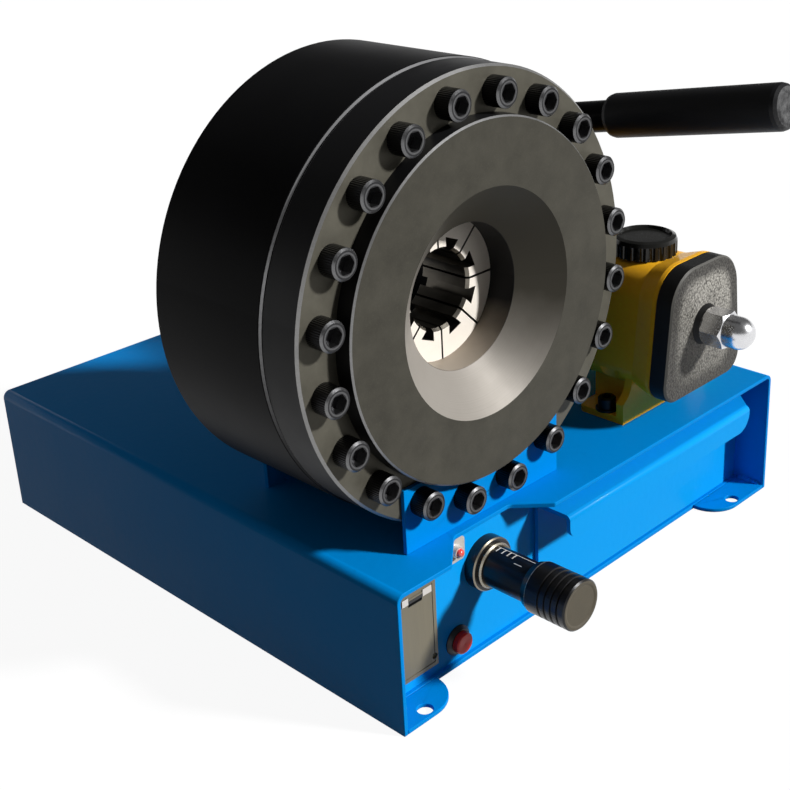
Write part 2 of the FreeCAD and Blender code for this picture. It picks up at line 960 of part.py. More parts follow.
def spring_coil(length):
    pitch = length / spring_turns
    helix = Part.makeHelix(pitch, length, spring_radius - spring_wire / 2)
    centre = Vector(spring_radius - spring_wire / 2, 0, 0)
    half = spring_wire / 2
    corners = [Vector(-half, 0, -half), Vector(half, 0, -half), Vector(half, 0, half),
               Vector(-half, 0, half)]
    ring = Part.makePolygon([centre + v for v in corners + corners[:1]])
    return Part.Wire(helix).makePipeShell([ring], True, True)


# Micrometer stop on the front panel
def micrometer_flange():
    r = micrometer_flange_radius
    bore = micrometer_barrel_radius
    y0 = panel_front - micrometer_flange_thickness
    profile = [(bore, panel_front), (r, panel_front), (r, panel_front - micrometer_flange_edge),
               (r - micrometer_flange_taper, y0), (bore, y0)]
    return turned_y(profile, micrometer_x, micrometer_height)


def micrometer_ring():
    y1 = panel_front - micrometer_flange_thickness
    y0 = y1 - micrometer_ring_thickness
    bore = micrometer_barrel_radius
    r = micrometer_ring_radius
    profile = [(bore, y1), (r, y1), (r, y0 + chamfer), (r - chamfer, y0), (bore, y0)]
    return turned_y(profile, micrometer_x, micrometer_height)


def thimble_end():
    return panel_front - micrometer_reach


def micrometer_barrel():
    y0 = thimble_end() + barrel_end_room
    y1 = panel_front + sheet + panel_nut_thickness + barrel_tail
    r = micrometer_barrel_radius
    bore = spindle_radius + spindle_fit
    profile = [(bore, y0), (r, y0), (r, y1), (bore, y1)]
    return turned_y(profile, micrometer_x, micrometer_height)


def micrometer_thimble():
    y0 = thimble_end()
    y1 = y0 + thimble_length
    r = thimble_radius
    inner = r - thimble_wall
    floor = y0 + thimble_end_recess + thimble_floor
    profile = [(0, spindle_start()), (spindle_radius, spindle_start()), (spindle_radius, floor),
               (inner, floor), (inner, y1), (inner + thimble_lip, y1), (r, y1 - thimble_bevel)]
    for k in reversed(range(thimble_groove_count)):
        y = y0 + thimble_groove_start + k * thimble_groove_pitch
        profile += [(r, y + thimble_groove_half), (r - thimble_groove, y + thimble_groove_floor),
                    (r - thimble_groove, y - thimble_groove_floor), (r, y - thimble_groove_half)]
    rim = r - thimble_end_rim
    profile += [(r, y0 + chamfer), (r - chamfer, y0), (rim, y0),
                (rim - thimble_lip, y0 + thimble_end_recess), (0, y0 + thimble_end_recess)]
    return turned_y(profile, micrometer_x, micrometer_height)


def spindle_start():
    """The spindle sits in a blind hole behind the thimble's end wall."""
    return thimble_end() + thimble_end_recess + thimble_end_wall


def spindle_tip():
    return piston_front + stop_clearance - spindle_gap


def micrometer_spindle():
    y0 = spindle_start()
    r = spindle_radius
    tip = spindle_tip()
    profile = [(0, y0), (r, y0), (r, tip - spindle_point), (r - spindle_point, tip), (0, tip)]
    return turned_y(profile, micrometer_x, micrometer_height)


def panel_nuts():
    """Nuts behind the front panel for the micrometer, the lamp and the button."""
    y0 = panel_front + sheet
    y1 = y0 + panel_nut_thickness
    nuts = []
    for x, z, radius, flats in ((micrometer_x, micrometer_height, micrometer_barrel_radius,
                                 micrometer_nut_flats),
                                (left + lamp_offset_x, lamp_height, lamp_body_radius,
                                 lamp_nut_flats),
                                (left + lamp_offset_x, button_height, button_body_radius,
                                 button_nut_flats)):
        nuts.append(hex_y(flats, y0, y1, x, z).cut(rod_y(radius, y0 - past, y1 + past, x, z)))
    return group(nuts)


# Indicator lamp
def lamp_bezel():
    x = left + lamp_offset_x
    z = lamp_height
    half = lamp_bezel_size / 2
    y0 = panel_front - lamp_bezel_thickness
    plate = plate_y(x, z, half, half, lamp_bezel_corner, y0, panel_front)
    body = rod_y(lamp_body_radius, panel_front, panel_front + lamp_body_length, x, z)
    collar_end = y0 - lamp_collar_height
    collar = turned_y([(0, y0), (lamp_body_radius, y0),
                       (lamp_body_radius - lamp_collar_taper, collar_end), (0, collar_end)], x, z)
    bore = rod_y(lamp_lens_radius, y0 - lamp_stand - past, panel_front + lamp_lens_seat, x, z)
    return fuse([plate, body, collar]).cut(bore)


def lamp_lens():
    x = left + lamp_offset_x
    z = lamp_height
    tip = panel_front - lamp_bezel_thickness - lamp_stand
    r = lamp_lens_radius
    rod = rod_y(r, tip + r, panel_front + lamp_lens_seat, x, z)
    dome = Part.makeSphere(r, Vector(x, tip + r, z))
    return fuse([rod, dome])


# Push button
def button_bezel():
    x = left + lamp_offset_x
    r = button_bezel_radius
    bore = button_cap_radius + button_fit
    y0 = panel_front - button_bezel_stand
    rear = panel_front + button_body_depth
    floor = rear - button_body_floor
    profile = [(bore, floor), (bore, y0), (bore + button_bezel_face, y0),
               (r, panel_front - button_bezel_edge),
               (r, panel_front), (button_body_radius, panel_front), (button_body_radius, rear),
               (0, rear), (0, floor)]
    return turned_y(profile, x, button_height)


def button_cap():
    x = left + lamp_offset_x
    r = button_cap_radius
    y0 = panel_front - button_cap_stand
    y1 = y0 + button_cap_length
    e = button_cap_edge
    profile = [(0, y0 + button_cap_dish), (r - button_cap_rim, y0), (r - e, y0), (r, y0 + e),
               (r, y1), (0, y1)]
    return turned_y(profile, x, button_height)


def button_spring():
    x = left + lamp_offset_x
    y0 = panel_front - button_cap_stand + button_cap_length
    y1 = panel_front + button_body_depth - button_body_floor
    coil = spring_coil(y1 - y0 - spring_wire - 2 * spring_end_gap)
    coil.rotate(Vector(0, 0, 0), Vector(1, 0, 0), -90)
    coil.translate(Vector(x, y0 + spring_wire / 2 + spring_end_gap, button_height))
    return coil


# Battery box with a small drawer
def battery_box():
    x = left + battery_offset_x
    z = battery_box_height
    half = battery_box_width / 2
    tall = battery_box_tall / 2
    y0 = panel_front - battery_box_flange
    depth = battery_thick + 2 * battery_clearance + 2 * battery_box_wall + battery_box_spare
    flange = plate_y(x, z, half, tall, battery_box_corner, y0, panel_front)
    case = box(x - half + battery_rim, x + half - battery_rim, panel_front, panel_front + depth,
               z - tall + battery_rim, z + tall - battery_rim)
    room_w = half - battery_rim - battery_box_wall
    room_t = tall - battery_rim - battery_box_wall
    hollow = box(x - room_w, x + room_w, y0 - past, panel_front + depth - battery_box_wall,
                 z - room_t, z + room_t)
    return fuse([flange, case]).cut(group([hollow, battery_latch()]))


def battery_latch():
    """Round recess at the lower right, half in the rim and half in the small drawer."""
    x = left + battery_offset_x + battery_drawer_half()
    z = battery_box_height - battery_box_tall / 2 + battery_latch_drop
    return rod_y(battery_latch_radius, panel_front - battery_box_flange - past,
                 battery_drawer_face() + battery_latch_depth, x, z)


def battery_drawer_half():
    return battery_box_width / 2 - battery_rim - battery_box_wall - battery_clearance


def battery_drawer():
    x = left + battery_offset_x
    z = battery_box_height
    half = battery_drawer_half()
    tall = battery_box_tall / 2 - battery_rim - battery_box_wall - battery_clearance
    y0 = battery_drawer_face()
    y1 = y0 + battery_front_plate + battery_thick + 2 * battery_clearance
    low = z - tall
    high = z + tall
    front_plate = box(x - half, x + half, y0, y0 + battery_front_plate, low, high)
    floor = box(x - half, x + half, y0, y1, low, low + battery_tray_sheet)
    lid = box(x - half, x + half, y0, y1, high - battery_tray_sheet, high)
    edge = x - half
    slot = box(edge + battery_grip_start, edge + battery_grip_end, y0 - past,
               y0 + battery_front_plate + past, high - battery_slot_low, high - battery_grip_low)
    raised = [(battery_strip_start, battery_grip_start - battery_strip_gap, battery_strip_high),
              (battery_grip_start, battery_grip_end, battery_grip_high),
              (battery_grip_end + battery_strip_gap, battery_strip_end, battery_strip_high)]
    strips = []
    for start, end, drop in raised:
        strips.append(box(edge + start, edge + end, y0 - battery_strip_stand, y0,
                          high - battery_grip_low, high - drop))
    return fuse([front_plate, floor, lid] + strips).cut(group([slot, battery_latch()]))


def battery_drawer_face():
    return panel_front - battery_box_flange + battery_front_sunk


def battery():
    x = left + battery_offset_x
    z = battery_box_height - battery_box_tall / 2 + battery_rim + battery_box_wall
    z += battery_clearance + battery_tray_sheet
    y0 = battery_drawer_face() + battery_front_plate + battery_clearance
    y1 = y0 + battery_thick
    half = battery_width / 2 - battery_clearance
    top = z + battery_tall - battery_headroom
    case = prism_z([(x - half, y0, battery_corner), (x + half, y0, battery_corner),
                    (x + half, y1, battery_corner), (x - half, y1, battery_corner)], z, top)
    end = top + battery_terminal_height
    middle = (y0 + y1) / 2
    large = rod_z(battery_terminal_large, top, end, x - battery_terminal_spread, middle)
    small = rod_z(battery_terminal_small, top, end, x + battery_terminal_spread, middle)
    return fuse([case, large, small])


# Die drawer
def drawer_front():
    x0 = left + drawer_left
    x1 = left + drawer_right
    y1 = panel_front - drawer_gap
    y0 = y1 - sheet
    nose = y0 - drawer_lip_reach
    top = drawer_top
    low = top - drawer_lip_drop
    outline = [(y1, drawer_bottom, 0), (y1, top, drawer_bend), (nose, top, drawer_bend),
               (nose, low, 0), (nose + sheet, low, 0), (nose + sheet, top - sheet, drawer_inner_bend),
               (y0, top - sheet, drawer_inner_bend), (y0, drawer_bottom, 0)]
    form = prism_x(outline, x0, x1)
    cut = drawer_lip_cut
    behind = nose + sheet + past / 2
    trim = box(x0 - past, x1 + past, nose - past, behind, low - past, top + past)
    keep = prism_y([(x0, low, drawer_lip_left_corner), (x1 - cut, low, drawer_lip_right_corner),
                    (x1 - cut, top + 2 * past, drawer_lip_top_corner), (x0, top + 2 * past, 0)],
                   nose - past, behind)
    shelf = prism_z([(x1 - cut, nose - past, 0), (x1 + past, nose - past, 0), (x1 + past, y0 - cut, 0),
                     (x1, y0 - cut, 0), (x1 - cut, nose + sheet, 0)], low - past, top + past)
    return form.cut(trim.cut(keep)).cut(shelf)


def tray_box(inset, y0, y1, z0):
    x0 = left + drawer_left + drawer_tray_inset + inset
    x1 = left + drawer_right - drawer_tray_inset - inset
    return box(x0, x1, y0, y1, z0, tray_top)


def drawer_tray():
    y0 = panel_front - drawer_gap
    y1 = y0 + drawer_tray_depth
    outer = tray_box(0, y0, y1, tray_bottom)
    inner = tray_box(drawer_tray_wall, y0 + drawer_tray_wall, y1 - drawer_tray_wall,
                     tray_bottom + drawer_tray_wall)
    return outer.cut(inner)


def drawer_divider():
    y0 = panel_front - drawer_gap + drawer_tray_depth * drawer_divider_share
    z0 = tray_bottom + drawer_tray_wall
    x0 = left + drawer_left + drawer_tray_inset + drawer_tray_wall
    x1 = left + drawer_right - drawer_tray_inset - drawer_tray_wall
    return box(x0, x1, y0, y0 + drawer_tray_wall, z0, z0 + drawer_divider_height)


def drawer_rails():
    y0 = panel_front + sheet + rail_start
    y1 = panel_front + drawer_tray_depth + rail_past_tray
    z0 = tray_bottom - rail_play
    rails = []
    for side, edge in ((1, left + drawer_left + drawer_tray_inset),
                       (-1, left + drawer_right - drawer_tray_inset)):
        guide = edge - side * rail_side_play
        outside = guide - side * rail_sheet
        inside = edge + side * drawer_rail_width
        corners = [(outside, sheet, 0), (inside, sheet, 0), (inside, z0, 0), (guide, z0, 0),
                   (guide, z0 + drawer_rail_guide, 0), (outside, z0 + drawer_rail_guide, 0)]
        rails.append(prism_y(corners, y0, y1))
    return group(rails)


# Hand pump
def tank_wire(inset, y):
    """Rounded trapezoid of the tank and its end cap, moved inwards by inset."""
    low = base_height + tank_bottom + inset
    high = base_height + tank_top - inset
    wide = tank_bottom_half - inset
    narrow = tank_top_half - inset
    r0 = max(tank_bottom_corner - inset * tank_bottom_corner_share, tank_least_corner)
    r1 = max(tank_top_corner - inset * tank_top_corner_share, tank_least_corner)
    return rounded_wire(on_y([(pump_x - wide, low, r0), (pump_x + wide, low, r0),
                              (pump_x + narrow, high, r1), (pump_x - narrow, high, r1)], y))


def tank_prism(inset, y0, y1):
    return Part.Face(tank_wire(inset, y0)).extrude(Vector(0, y1 - y0, 0))


def tank_loft(first, y0, last, y1):
    return Part.makeLoft([tank_wire(first, y0), tank_wire(last, y1)], True, True)


def pump_foot(y0, y1, wall_y):
    low = base_height
    half = foot_half_width
    plate = prism_z([(pump_x - half, y0, foot_front_corner), (pump_x + half, y0, foot_front_corner),
                     (pump_x + half, y1, foot_rear_corner), (pump_x - half, y1, foot_rear_corner)],
                    low, low + foot_plate)
    rise = low + foot_wall_rise
    edge = low + foot_wall_edge
    web = edge + foot_web_drop
    shoulder = tank_bottom_half - tank_waist - foot_web_inset
    run = shoulder + foot_web_run
    wall = prism_y([(pump_x - half, low, 0), (pump_x + half, low, 0),
                    (pump_x + half, edge, foot_wall_corner), (pump_x + run, web, foot_web_round),
                    (pump_x + shoulder, rise, 0), (pump_x - shoulder, rise, 0),
                    (pump_x - run, web, foot_web_round), (pump_x - half, edge, foot_wall_corner)],
                   wall_y, wall_y + foot_wall)
    pillar_half = shoulder - foot_pillar_inset
    pillar = box(pump_x - pillar_half, pump_x + pillar_half, y0, y1, low,
                 low + tank_bottom + tank_wall)
    return [plate, wall, pillar]


def foot_places():
    first = tank_front + foot_setback
    last = tank_rear - foot_setback
    return first, last


def pump_tank():
    first, last = foot_places()
    flange_end = tank_front + tank_flange
    waist_start = flange_end + tank_flare
    waist_end = tank_rear - tank_flange - tank_flare
    forms = [tank_prism(0, tank_front, flange_end), tank_loft(0, flange_end, tank_waist, waist_start),
             tank_prism(tank_waist, waist_start, waist_end),
             tank_loft(tank_waist, waist_end, 0, tank_rear - tank_flange),
             tank_prism(0, tank_rear - tank_flange, tank_rear)]
    forms += pump_foot(first, first + foot_length, first)
    forms += pump_foot(last - foot_length, last, last - foot_wall)
    top = base_height + tank_top - tank_waist
    filler_y = tank_front + filler_setback
    forms.append(rod_z(filler_neck_radius, top - tank_wall, top + filler_neck_rise, pump_x, filler_y))
    tank = fuse(forms)
    cavity = tank_prism(tank_waist + tank_wall, tank_front - past, tank_rear + past)
    neck = rod_z(filler_neck_radius - filler_neck_wall, top - tank_wall - past,
                 top + filler_neck_rise + past, pump_x, filler_y)
    cuts = [cavity, neck]
    for x, y in tank_bolt_places():
        seat = base_height + foot_plate
        cuts.append(rod_z(deck_bolt_radius, base_height - past, seat + past, x, y))
        cuts.append(rod_z(washer_radius + washer_room, seat, seat + washer_room_height, x, y))
    return tank.cut(group(cuts))


def tank_gaskets():
    gaskets = []
    for y in (cap_rear, tank_rear):
        y1 = y + gasket_thickness
        hole = tank_prism(tank_waist + tank_wall, y - past, y1 + past)
        gaskets.append(tank_prism(gasket_inset, y, y1).cut(hole))
    return group(gaskets)


def pump_end_cap():
    plate = tank_loft(cap_edge, cap_face, 0, cap_face + cap_edge)
    rest = tank_prism(0, cap_face + cap_edge, cap_rear)
    base = cap_face + past
    end = cap_face - cap_boss_height
    boss = turned_y([(0, base), (cap_boss_radius + cap_boss_taper, base), (cap_boss_radius, end),
                     (0, end)], pump_x, tie_z)
    bore = rod_y(tie_rod_radius + tie_rod_clearance, end - past, cap_rear + past, pump_x, tie_z)
    return fuse([plate, rest, boss]).cut(bore)


def acorn_nut():
    base = cap_face - cap_boss_height
    hexagon = hex_y(nut_across_flats, base - nut_hex_height, base, pump_x, tie_z)
    outer = nut_across_flats / math.sqrt(3)
    top = base - nut_hex_height
    c = nut_base_chamfer
    cone = turned_y([(0, base), (outer - c, base), (outer, base - c),
                     (outer, top + nut_shoulder_rise), (outer - nut_shoulder_run, top),
                     (0, top)], pump_x, tie_z)
    centre = top - nut_dome_stand
    neck = rod_y(nut_dome_radius, centre, top, pump_x, tie_z)
    dome = Part.makeSphere(nut_dome_radius, Vector(pump_x, centre, tie_z))
    bore = rod_y(tie_rod_radius, top - nut_thread_past_hex, base + past, pump_x, tie_z)
    return fuse([hexagon.common(cone), neck, dome]).cut(bore)


def tie_rod():
    nut_top = cap_face - cap_boss_height - nut_hex_height
    y0 = nut_top - nut_thread_past_hex + tie_rod_end_gap
    return rod_y(tie_rod_radius, y0, block_front + tie_rod_seat, pump_x, tie_z)


def filler_z():
    return base_height + tank_top - tank_waist


def filler_cap():
    x = pump_x
    y = tank_front + filler_setback
    z0 = filler_z() + filler_cap_lift
    z1 = z0 + filler_cap_height
    r = filler_cap_radius
    e = filler_cap_edge
    rim = r - filler_cap_rim
    turn = e * filler_cap_edge_share
    sunk = z1 - filler_cap_recess
    bore = filler_neck_radius + filler_fit
    roof = filler_z() + filler_neck_rise + filler_seal_thickness
    profile = [(bore, z0), (r, z0), (r, z1 - e), (r - turn, z1 - turn), (r - e, z1), (rim, z1),
               (rim - filler_cap_rim_slope, sunk), (0, sunk), (0, roof), (bore, roof)]
    cap = turned_z(profile, x, y)
    flutes = []
    for k in range(filler_rib_count):
        turn = 2 * math.pi * k / filler_rib_count
        cx = x + (r + filler_flute_out) * math.cos(turn)
        cy = y + (r + filler_flute_out) * math.sin(turn)
        flutes.append(rod_z(filler_flute_radius, z0 - past, z1 - filler_flute_top, cx, cy))
    return cap.cut(group(flutes))


def filler_seal():
    """Flat ring under the cap's roof, resting on the end of the neck."""
    z0 = filler_z() + filler_neck_rise
    y = tank_front + filler_setback
    ring = rod_z(filler_neck_radius - filler_fit, z0, z0 + filler_seal_thickness, pump_x, y)
    return ring.cut(rod_z(filler_neck_radius - filler_neck_wall, z0 - past,
                          z0 + filler_seal_thickness + past, pump_x, y))


# Pump block, plunger and lever
def ear_places():
    inner = ear_gap
    outer = ear_gap + ear_thickness
    return ((pump_x - outer, pump_x - inner), (pump_x + inner, pump_x + outer))


def pump_block():
    top = base_height + block_top
    half = block_half_width
    r = block_corner
    body = prism_y([(pump_x - half, base_height, 0), (pump_x + half, base_height, 0),
                    (pump_x + half, top, r), (pump_x - half, top, r)], block_front, block_rear)
    wide = block_foot_half
    c = block_foot_corner
    foot_front = block_front + block_foot_setback
    foot = prism_z([(pump_x - wide, foot_front, c), (pump_x + wide, foot_front, c),
                    (pump_x + wide, block_rear, c), (pump_x - wide, block_rear, c)],
                   base_height, base_height + block_foot)
    forms = [body, foot]
    root = top - ear_root
    corner = ear_radius - ear_flat
    for x0, x1 in ear_places():
        ear = prism_x([(pivot_y - ear_radius - ear_spread, root, 0), (block_rear, root, 0),
                       (pivot_y + ear_radius, pivot_z + ear_radius, corner),
                       (pivot_y - ear_radius, pivot_z + ear_radius, corner)], x0, x1)
        forms.append(ear)
    block = fuse(forms)
    across = ear_gap + ear_thickness + past
    side = pump_x + half
    cuts = [rod_x(pivot_radius, pump_x - across, pump_x + across, pivot_y, pivot_z),
            rod_z(plunger_radius + plunger_fit, pivot_z - plunger_down - plunger_bore_spare,
                  top + past, pump_x, plunger_y),
            rod_y(tie_rod_radius, block_front - past, block_front + tie_rod_seat, pump_x, tie_z),
            rod_x(pipe_radius - pipe_wall, pump_x - half - past, pump_x - plunger_radius,
                  pipe_y(), pipe_z()),
            rod_x(knob_stem_radius, side - knob_stem_depth, side + past, plunger_y,
                  base_height + knob_height)]
    seat = base_height + block_foot
    for x, y in block_bolt_places():
        cuts.append(rod_z(deck_bolt_radius, base_height - past, seat + past, x, y))
        cuts.append(rod_z(washer_radius + washer_room, seat, seat + washer_room_height, x, y))
    return block.cut(group(cuts))


def plunger_gland():
    z0 = base_height + block_top
    z1 = z0 + gland_height
    nut = hex_z(gland_across_flats, z0, z1, pump_x, plunger_y)
    return nut.cut(rod_z(plunger_radius + plunger_fit, z0 - past, z1 + past, pump_x, plunger_y))


def pump_plunger():
    shoulder = plunger_z - plunger_top_drop
    root = shoulder - tongue_root
    stem = rod_z(plunger_radius, pivot_z - plunger_down, shoulder, pump_x, plunger_y)
    half = plunger_radius - tongue_flat
    top = plunger_z + plunger_radius
    tongue = prism_x([(plunger_y - half, root, 0), (plunger_y + half, root, 0),
                      (plunger_y + half, top, tongue_corner), (plunger_y - half, top, tongue_corner)],
                     pump_x - plunger_tongue, pump_x + plunger_tongue)
    round_up = rod_z(plunger_radius, root, top + past, pump_x, plunger_y)
    across = plunger_tongue + past
    eye = rod_x(plunger_pin_radius, pump_x - across, pump_x + across, plunger_y, plunger_z)
    return fuse([stem, tongue.common(round_up)]).cut(eye)


def plunger_pin():
    half = plunger_tongue + cheek_gap + cheek_thickness - plunger_pin_sunk
    return rod_x(plunger_pin_radius, pump_x - half, pump_x + half, plunger_y, plunger_z)


def pivot_pin():
    half = ear_gap + ear_thickness + pivot_stand
    r = pivot_radius + pivot_head_rim
    shaft = rod_x(pivot_radius, pump_x - half, pump_x + half, pivot_y, pivot_z)
    thick = pivot_head_thickness
    heads = [rod_x(r, pump_x - half, pump_x - half + thick, pivot_y, pivot_z),
             rod_x(r, pump_x + half - thick, pump_x + half, pivot_y, pivot_z)]
    return fuse([shaft] + heads)


def along_lever(shape):
    """Place a shape made forwards along -Y from the origin onto the lever's axis."""
    placed = shape.copy()
    placed.rotate(Vector(0, 0, 0), Vector(1, 0, 0), -lever_rise)
    placed.translate(Vector(pump_x, pivot_y, pivot_z))
    return placed


def plunger_in_lever():
    """Place of the plunger's pin ahead of and below the pivot, along the lever at rest."""
    ahead = plunger_offset * math.cos(lever_angle) - plunger_drop * math.sin(lever_angle)
    below = plunger_drop * math.cos(lever_angle) + plunger_offset * math.sin(lever_angle)
    return ahead, below


def lever_yoke():
    inner = plunger_tongue + cheek_gap
    outer = inner + cheek_thickness
    h = cheek_half_height
    offset, drop = plunger_in_lever()
    ahead = -socket_start - cheek_overlap
    forms = []
    for x0 in (-outer, inner):
        cheek = prism_x([(h, -h, cheek_rear_corner), (h, h, h - cheek_flat),
                         (ahead, h, cheek_front_corner), (ahead, -h, cheek_front_corner),
                         (-offset - lobe_ahead, -cheek_lobe, lobe_corner),
                         (-offset + lobe_behind, -cheek_lobe, lobe_corner)],
                        x0, x0 + cheek_thickness)
        forms.append(cheek)
    forms.append(rod_x(h, -outer, outer, 0, 0))
    forms.append(box(-outer, outer, -socket_start - yoke_bridge, -socket_start, -h, h))
    socket_end = -socket_start - socket_length
    forms.append(rod_y(socket_radius, socket_end, -socket_start - socket_root, 0, 0))
    yoke = fuse(forms)
    across = outer + past
    cuts = [rod_x(pivot_radius + pivot_fit, -across, across, 0, 0),
            rod_y(lever_tube_radius, socket_end - past, tube_start(), 0, 0),
            rod_x(plunger_pin_room, -across, across,
                  -offset - plunger_pin_shift, -drop - plunger_pin_shift)]
    return along_lever(yoke.cut(group(cuts)))


def tube_start():
    return -socket_start - tube_seat


def lever_tube():
    y0 = -lever_reach + grip_end
    tube = rod_y(lever_tube_radius, y0, tube_start(), 0, 0)
    bore = rod_y(lever_tube_radius - lever_tube_wall, y0 - past, tube_start() - lever_tube_plug, 0, 0)
    return along_lever(tube.cut(bore))


def lever_grip():
    y0 = -lever_reach
    y1 = y0 + grip_length
    r = grip_radius
    e = grip_edge
    bore = lever_tube_radius
    corner = [(e * math.sin(math.radians(a)), e * math.cos(math.radians(a))) for a in (0, 30, 60, 90)]
    profile = [(0, y0 + grip_end), (0, y0)]
    profile += [(r - e + s, y0 + e - c) for s, c in corner]
    profile += [(r - e + s, y1 - e + c) for s, c in reversed(corner)]
    profile += [(bore, y1), (bore, y0 + grip_end)]
    return along_lever(turned_y(profile, 0, 0))


def release_knob():
    side = pump_x + block_half_width
    x1 = side + knob_stand
    z = base_height + knob_height
    stem = rod_x(knob_stem_radius - knob_fit, side - knob_stem_depth + knob_end_gap, x1,
                 plunger_y, z)
    head = rod_x(knob_radius, x1, x1 + knob_length, plunger_y, z)
    reach = knob_radius + knob_flute_out
    flutes = []
    for k in range(knob_flute_count):
        turn = 2 * math.pi * k / knob_flute_count
        flutes.append(rod_x(knob_flute_radius, x1 - past, x1 + knob_length + past,
                            plunger_y + reach * math.cos(turn), z + reach * math.sin(turn)))
    return fuse([stem, head.cut(group(flutes))])


# Pressure line from the pump block to the cylinder
def pipe_y():
    return block_front + pipe_entry_setback


def pipe_z():
    return base_height + pipe_entry_height


def pressure_pipe():
    start = Vector(head_x + pipe_port_radius, body_rear + fitting_length, head_z)
    points = [start, Vector(start.x, pipe_y(), start.z), Vector(start.x, pipe_y(), pipe_z()),
              Vector(pump_x - block_half_width - fitting_length, pipe_y(), pipe_z())]
    pieces = []
    here = points[0]
    for k in (1, 2):
        corner = points[k]
        into = (points[k - 1] - corner).normalize()
        out = (points[k + 1] - corner).normalize()
        first = corner + into * pipe_bend
        centre = first + out * pipe_bend
        pieces.append(pipe_section(here, into).extrude(first - here))
        pieces.append(pipe_section(first, into).revolve(centre, out.cross(into), 90))
        here = corner + out * pipe_bend
    pieces.append(pipe_section(here, points[3] - here).extrude(points[3] - here))
    return fuse(pieces)


def pipe_section(centre, direction):
    rings = [Part.Wire([Part.Circle(centre, direction, radius).toShape()])
             for radius in (pipe_radius, pipe_radius - pipe_wall)]
    return Part.Face(rings, "Part::FaceMakerBullseye")


def pipe_fittings():
    """Hexagon fittings at the cylinder's back and at the pump block's side."""
    x = head_x + pipe_port_radius
    y1 = body_rear + fitting_length
    end = y1 + fitting_collar_length
    outer = pipe_radius + fitting_collar_wall
    bore = pipe_radius - pipe_wall
    rear = hex_y(fitting_across_flats, body_rear, y1, x, head_z)
    rear = rear.fuse(rod_y(outer, y1, end, x, head_z))
    rear = rear.cut(rod_y(pipe_radius, y1, end + past, x, head_z))
    rear = rear.cut(rod_y(bore, body_rear - past, end + past, x, head_z))
    x1 = pump_x - block_half_width
    x0 = x1 - fitting_length
    start = x0 - fitting_collar_length
    side = hex_x(fitting_across_flats, x0, x1, pipe_y(), pipe_z())
    side = side.fuse(rod_x(outer, start, x0, pipe_y(), pipe_z()))
    side = side.cut(rod_x(pipe_radius, start - past, x0, pipe_y(), pipe_z()))
    side = side.cut(rod_x(bore, start - past, x1 + past, pipe_y(), pipe_z()))
    return group([rear, side])


def tank_bolt_places():
    first, last = foot_places()
    places = []
    for x in (pump_x - foot_bolt_spread, pump_x + foot_bolt_spread):
        for y in (first + foot_bolt_setback, last - foot_bolt_setback):
            places.append((x, y))
    return places


def block_bolt_places():
    y = block_rear - block_bolt_inset
    return [(pump_x - foot_bolt_spread, y), (pump_x + foot_bolt_spread, y)]


def pump_bolt_places():
    return tank_bolt_places() + block_bolt_places()


def deck_bolt(x, y, seat):
    """Screw with its washer above seat and its nut below the deck."""
    head = seat + washer_thickness
    top = head + deck_bolt_head_height
    r = deck_bolt_head
    rim = deck_bolt_rim
    profile = [(0, head), (r, head), (r, top - rim), (r - rim, top), (0, top)]
    socket = hex_z(deck_bolt_hex, top - deck_bolt_hex_depth, top + past, x, y)
    shank = rod_z(deck_bolt_radius, deck_under - deck_bolt_grip, head, x, y)
    nut = hex_z(deck_nut_flats, deck_under - deck_nut_thickness, deck_under, x, y)
    washer = rod_z(washer_radius, seat, head, x, y)
    return fuse([turned_z(profile, x, y), shank, nut, washer]).cut(socket)


def pump_bolts():
    bolts = [deck_bolt(x, y, base_height + foot_plate) for x, y in tank_bolt_places()]
    bolts += [deck_bolt(x, y, base_height + block_foot) for x, y in block_bolt_places()]
    return group(bolts)


def main():
    os.makedirs("parts", exist_ok=True)
    makers = [base_shell, front_panel, rear_panel, bottom_plate, foot_ears, front_bracket,
              rear_bracket, head_body, head_cover, head_bolts, piston, piston_seals, follower_arm,
              die_springs, micrometer_flange, micrometer_ring, micrometer_barrel,
              micrometer_thimble, micrometer_spindle, panel_nuts, lamp_bezel, lamp_lens,
              button_bezel, button_cap, button_spring, battery_box, battery_drawer, battery,
              drawer_front, drawer_tray, drawer_divider, drawer_rails, pump_tank, tank_gaskets,
              pump_end_cap, acorn_nut, tie_rod, filler_cap, filler_seal, pump_block, plunger_gland,
              pump_plunger, plunger_pin, pivot_pin, lever_yoke, lever_tube, lever_grip,
              release_knob, pressure_pipe, pipe_fittings, pump_bolts]
    for maker in makers:
        save(maker.__name__, maker())
    for k in range(1, die_count + 1):
        save("die_%d" % k, die(k))


main()
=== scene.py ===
# Finishes, small details, light and camera for the hose crimping machine.
import math

import bmesh
import bpy
from mathutils import Matrix, Vector


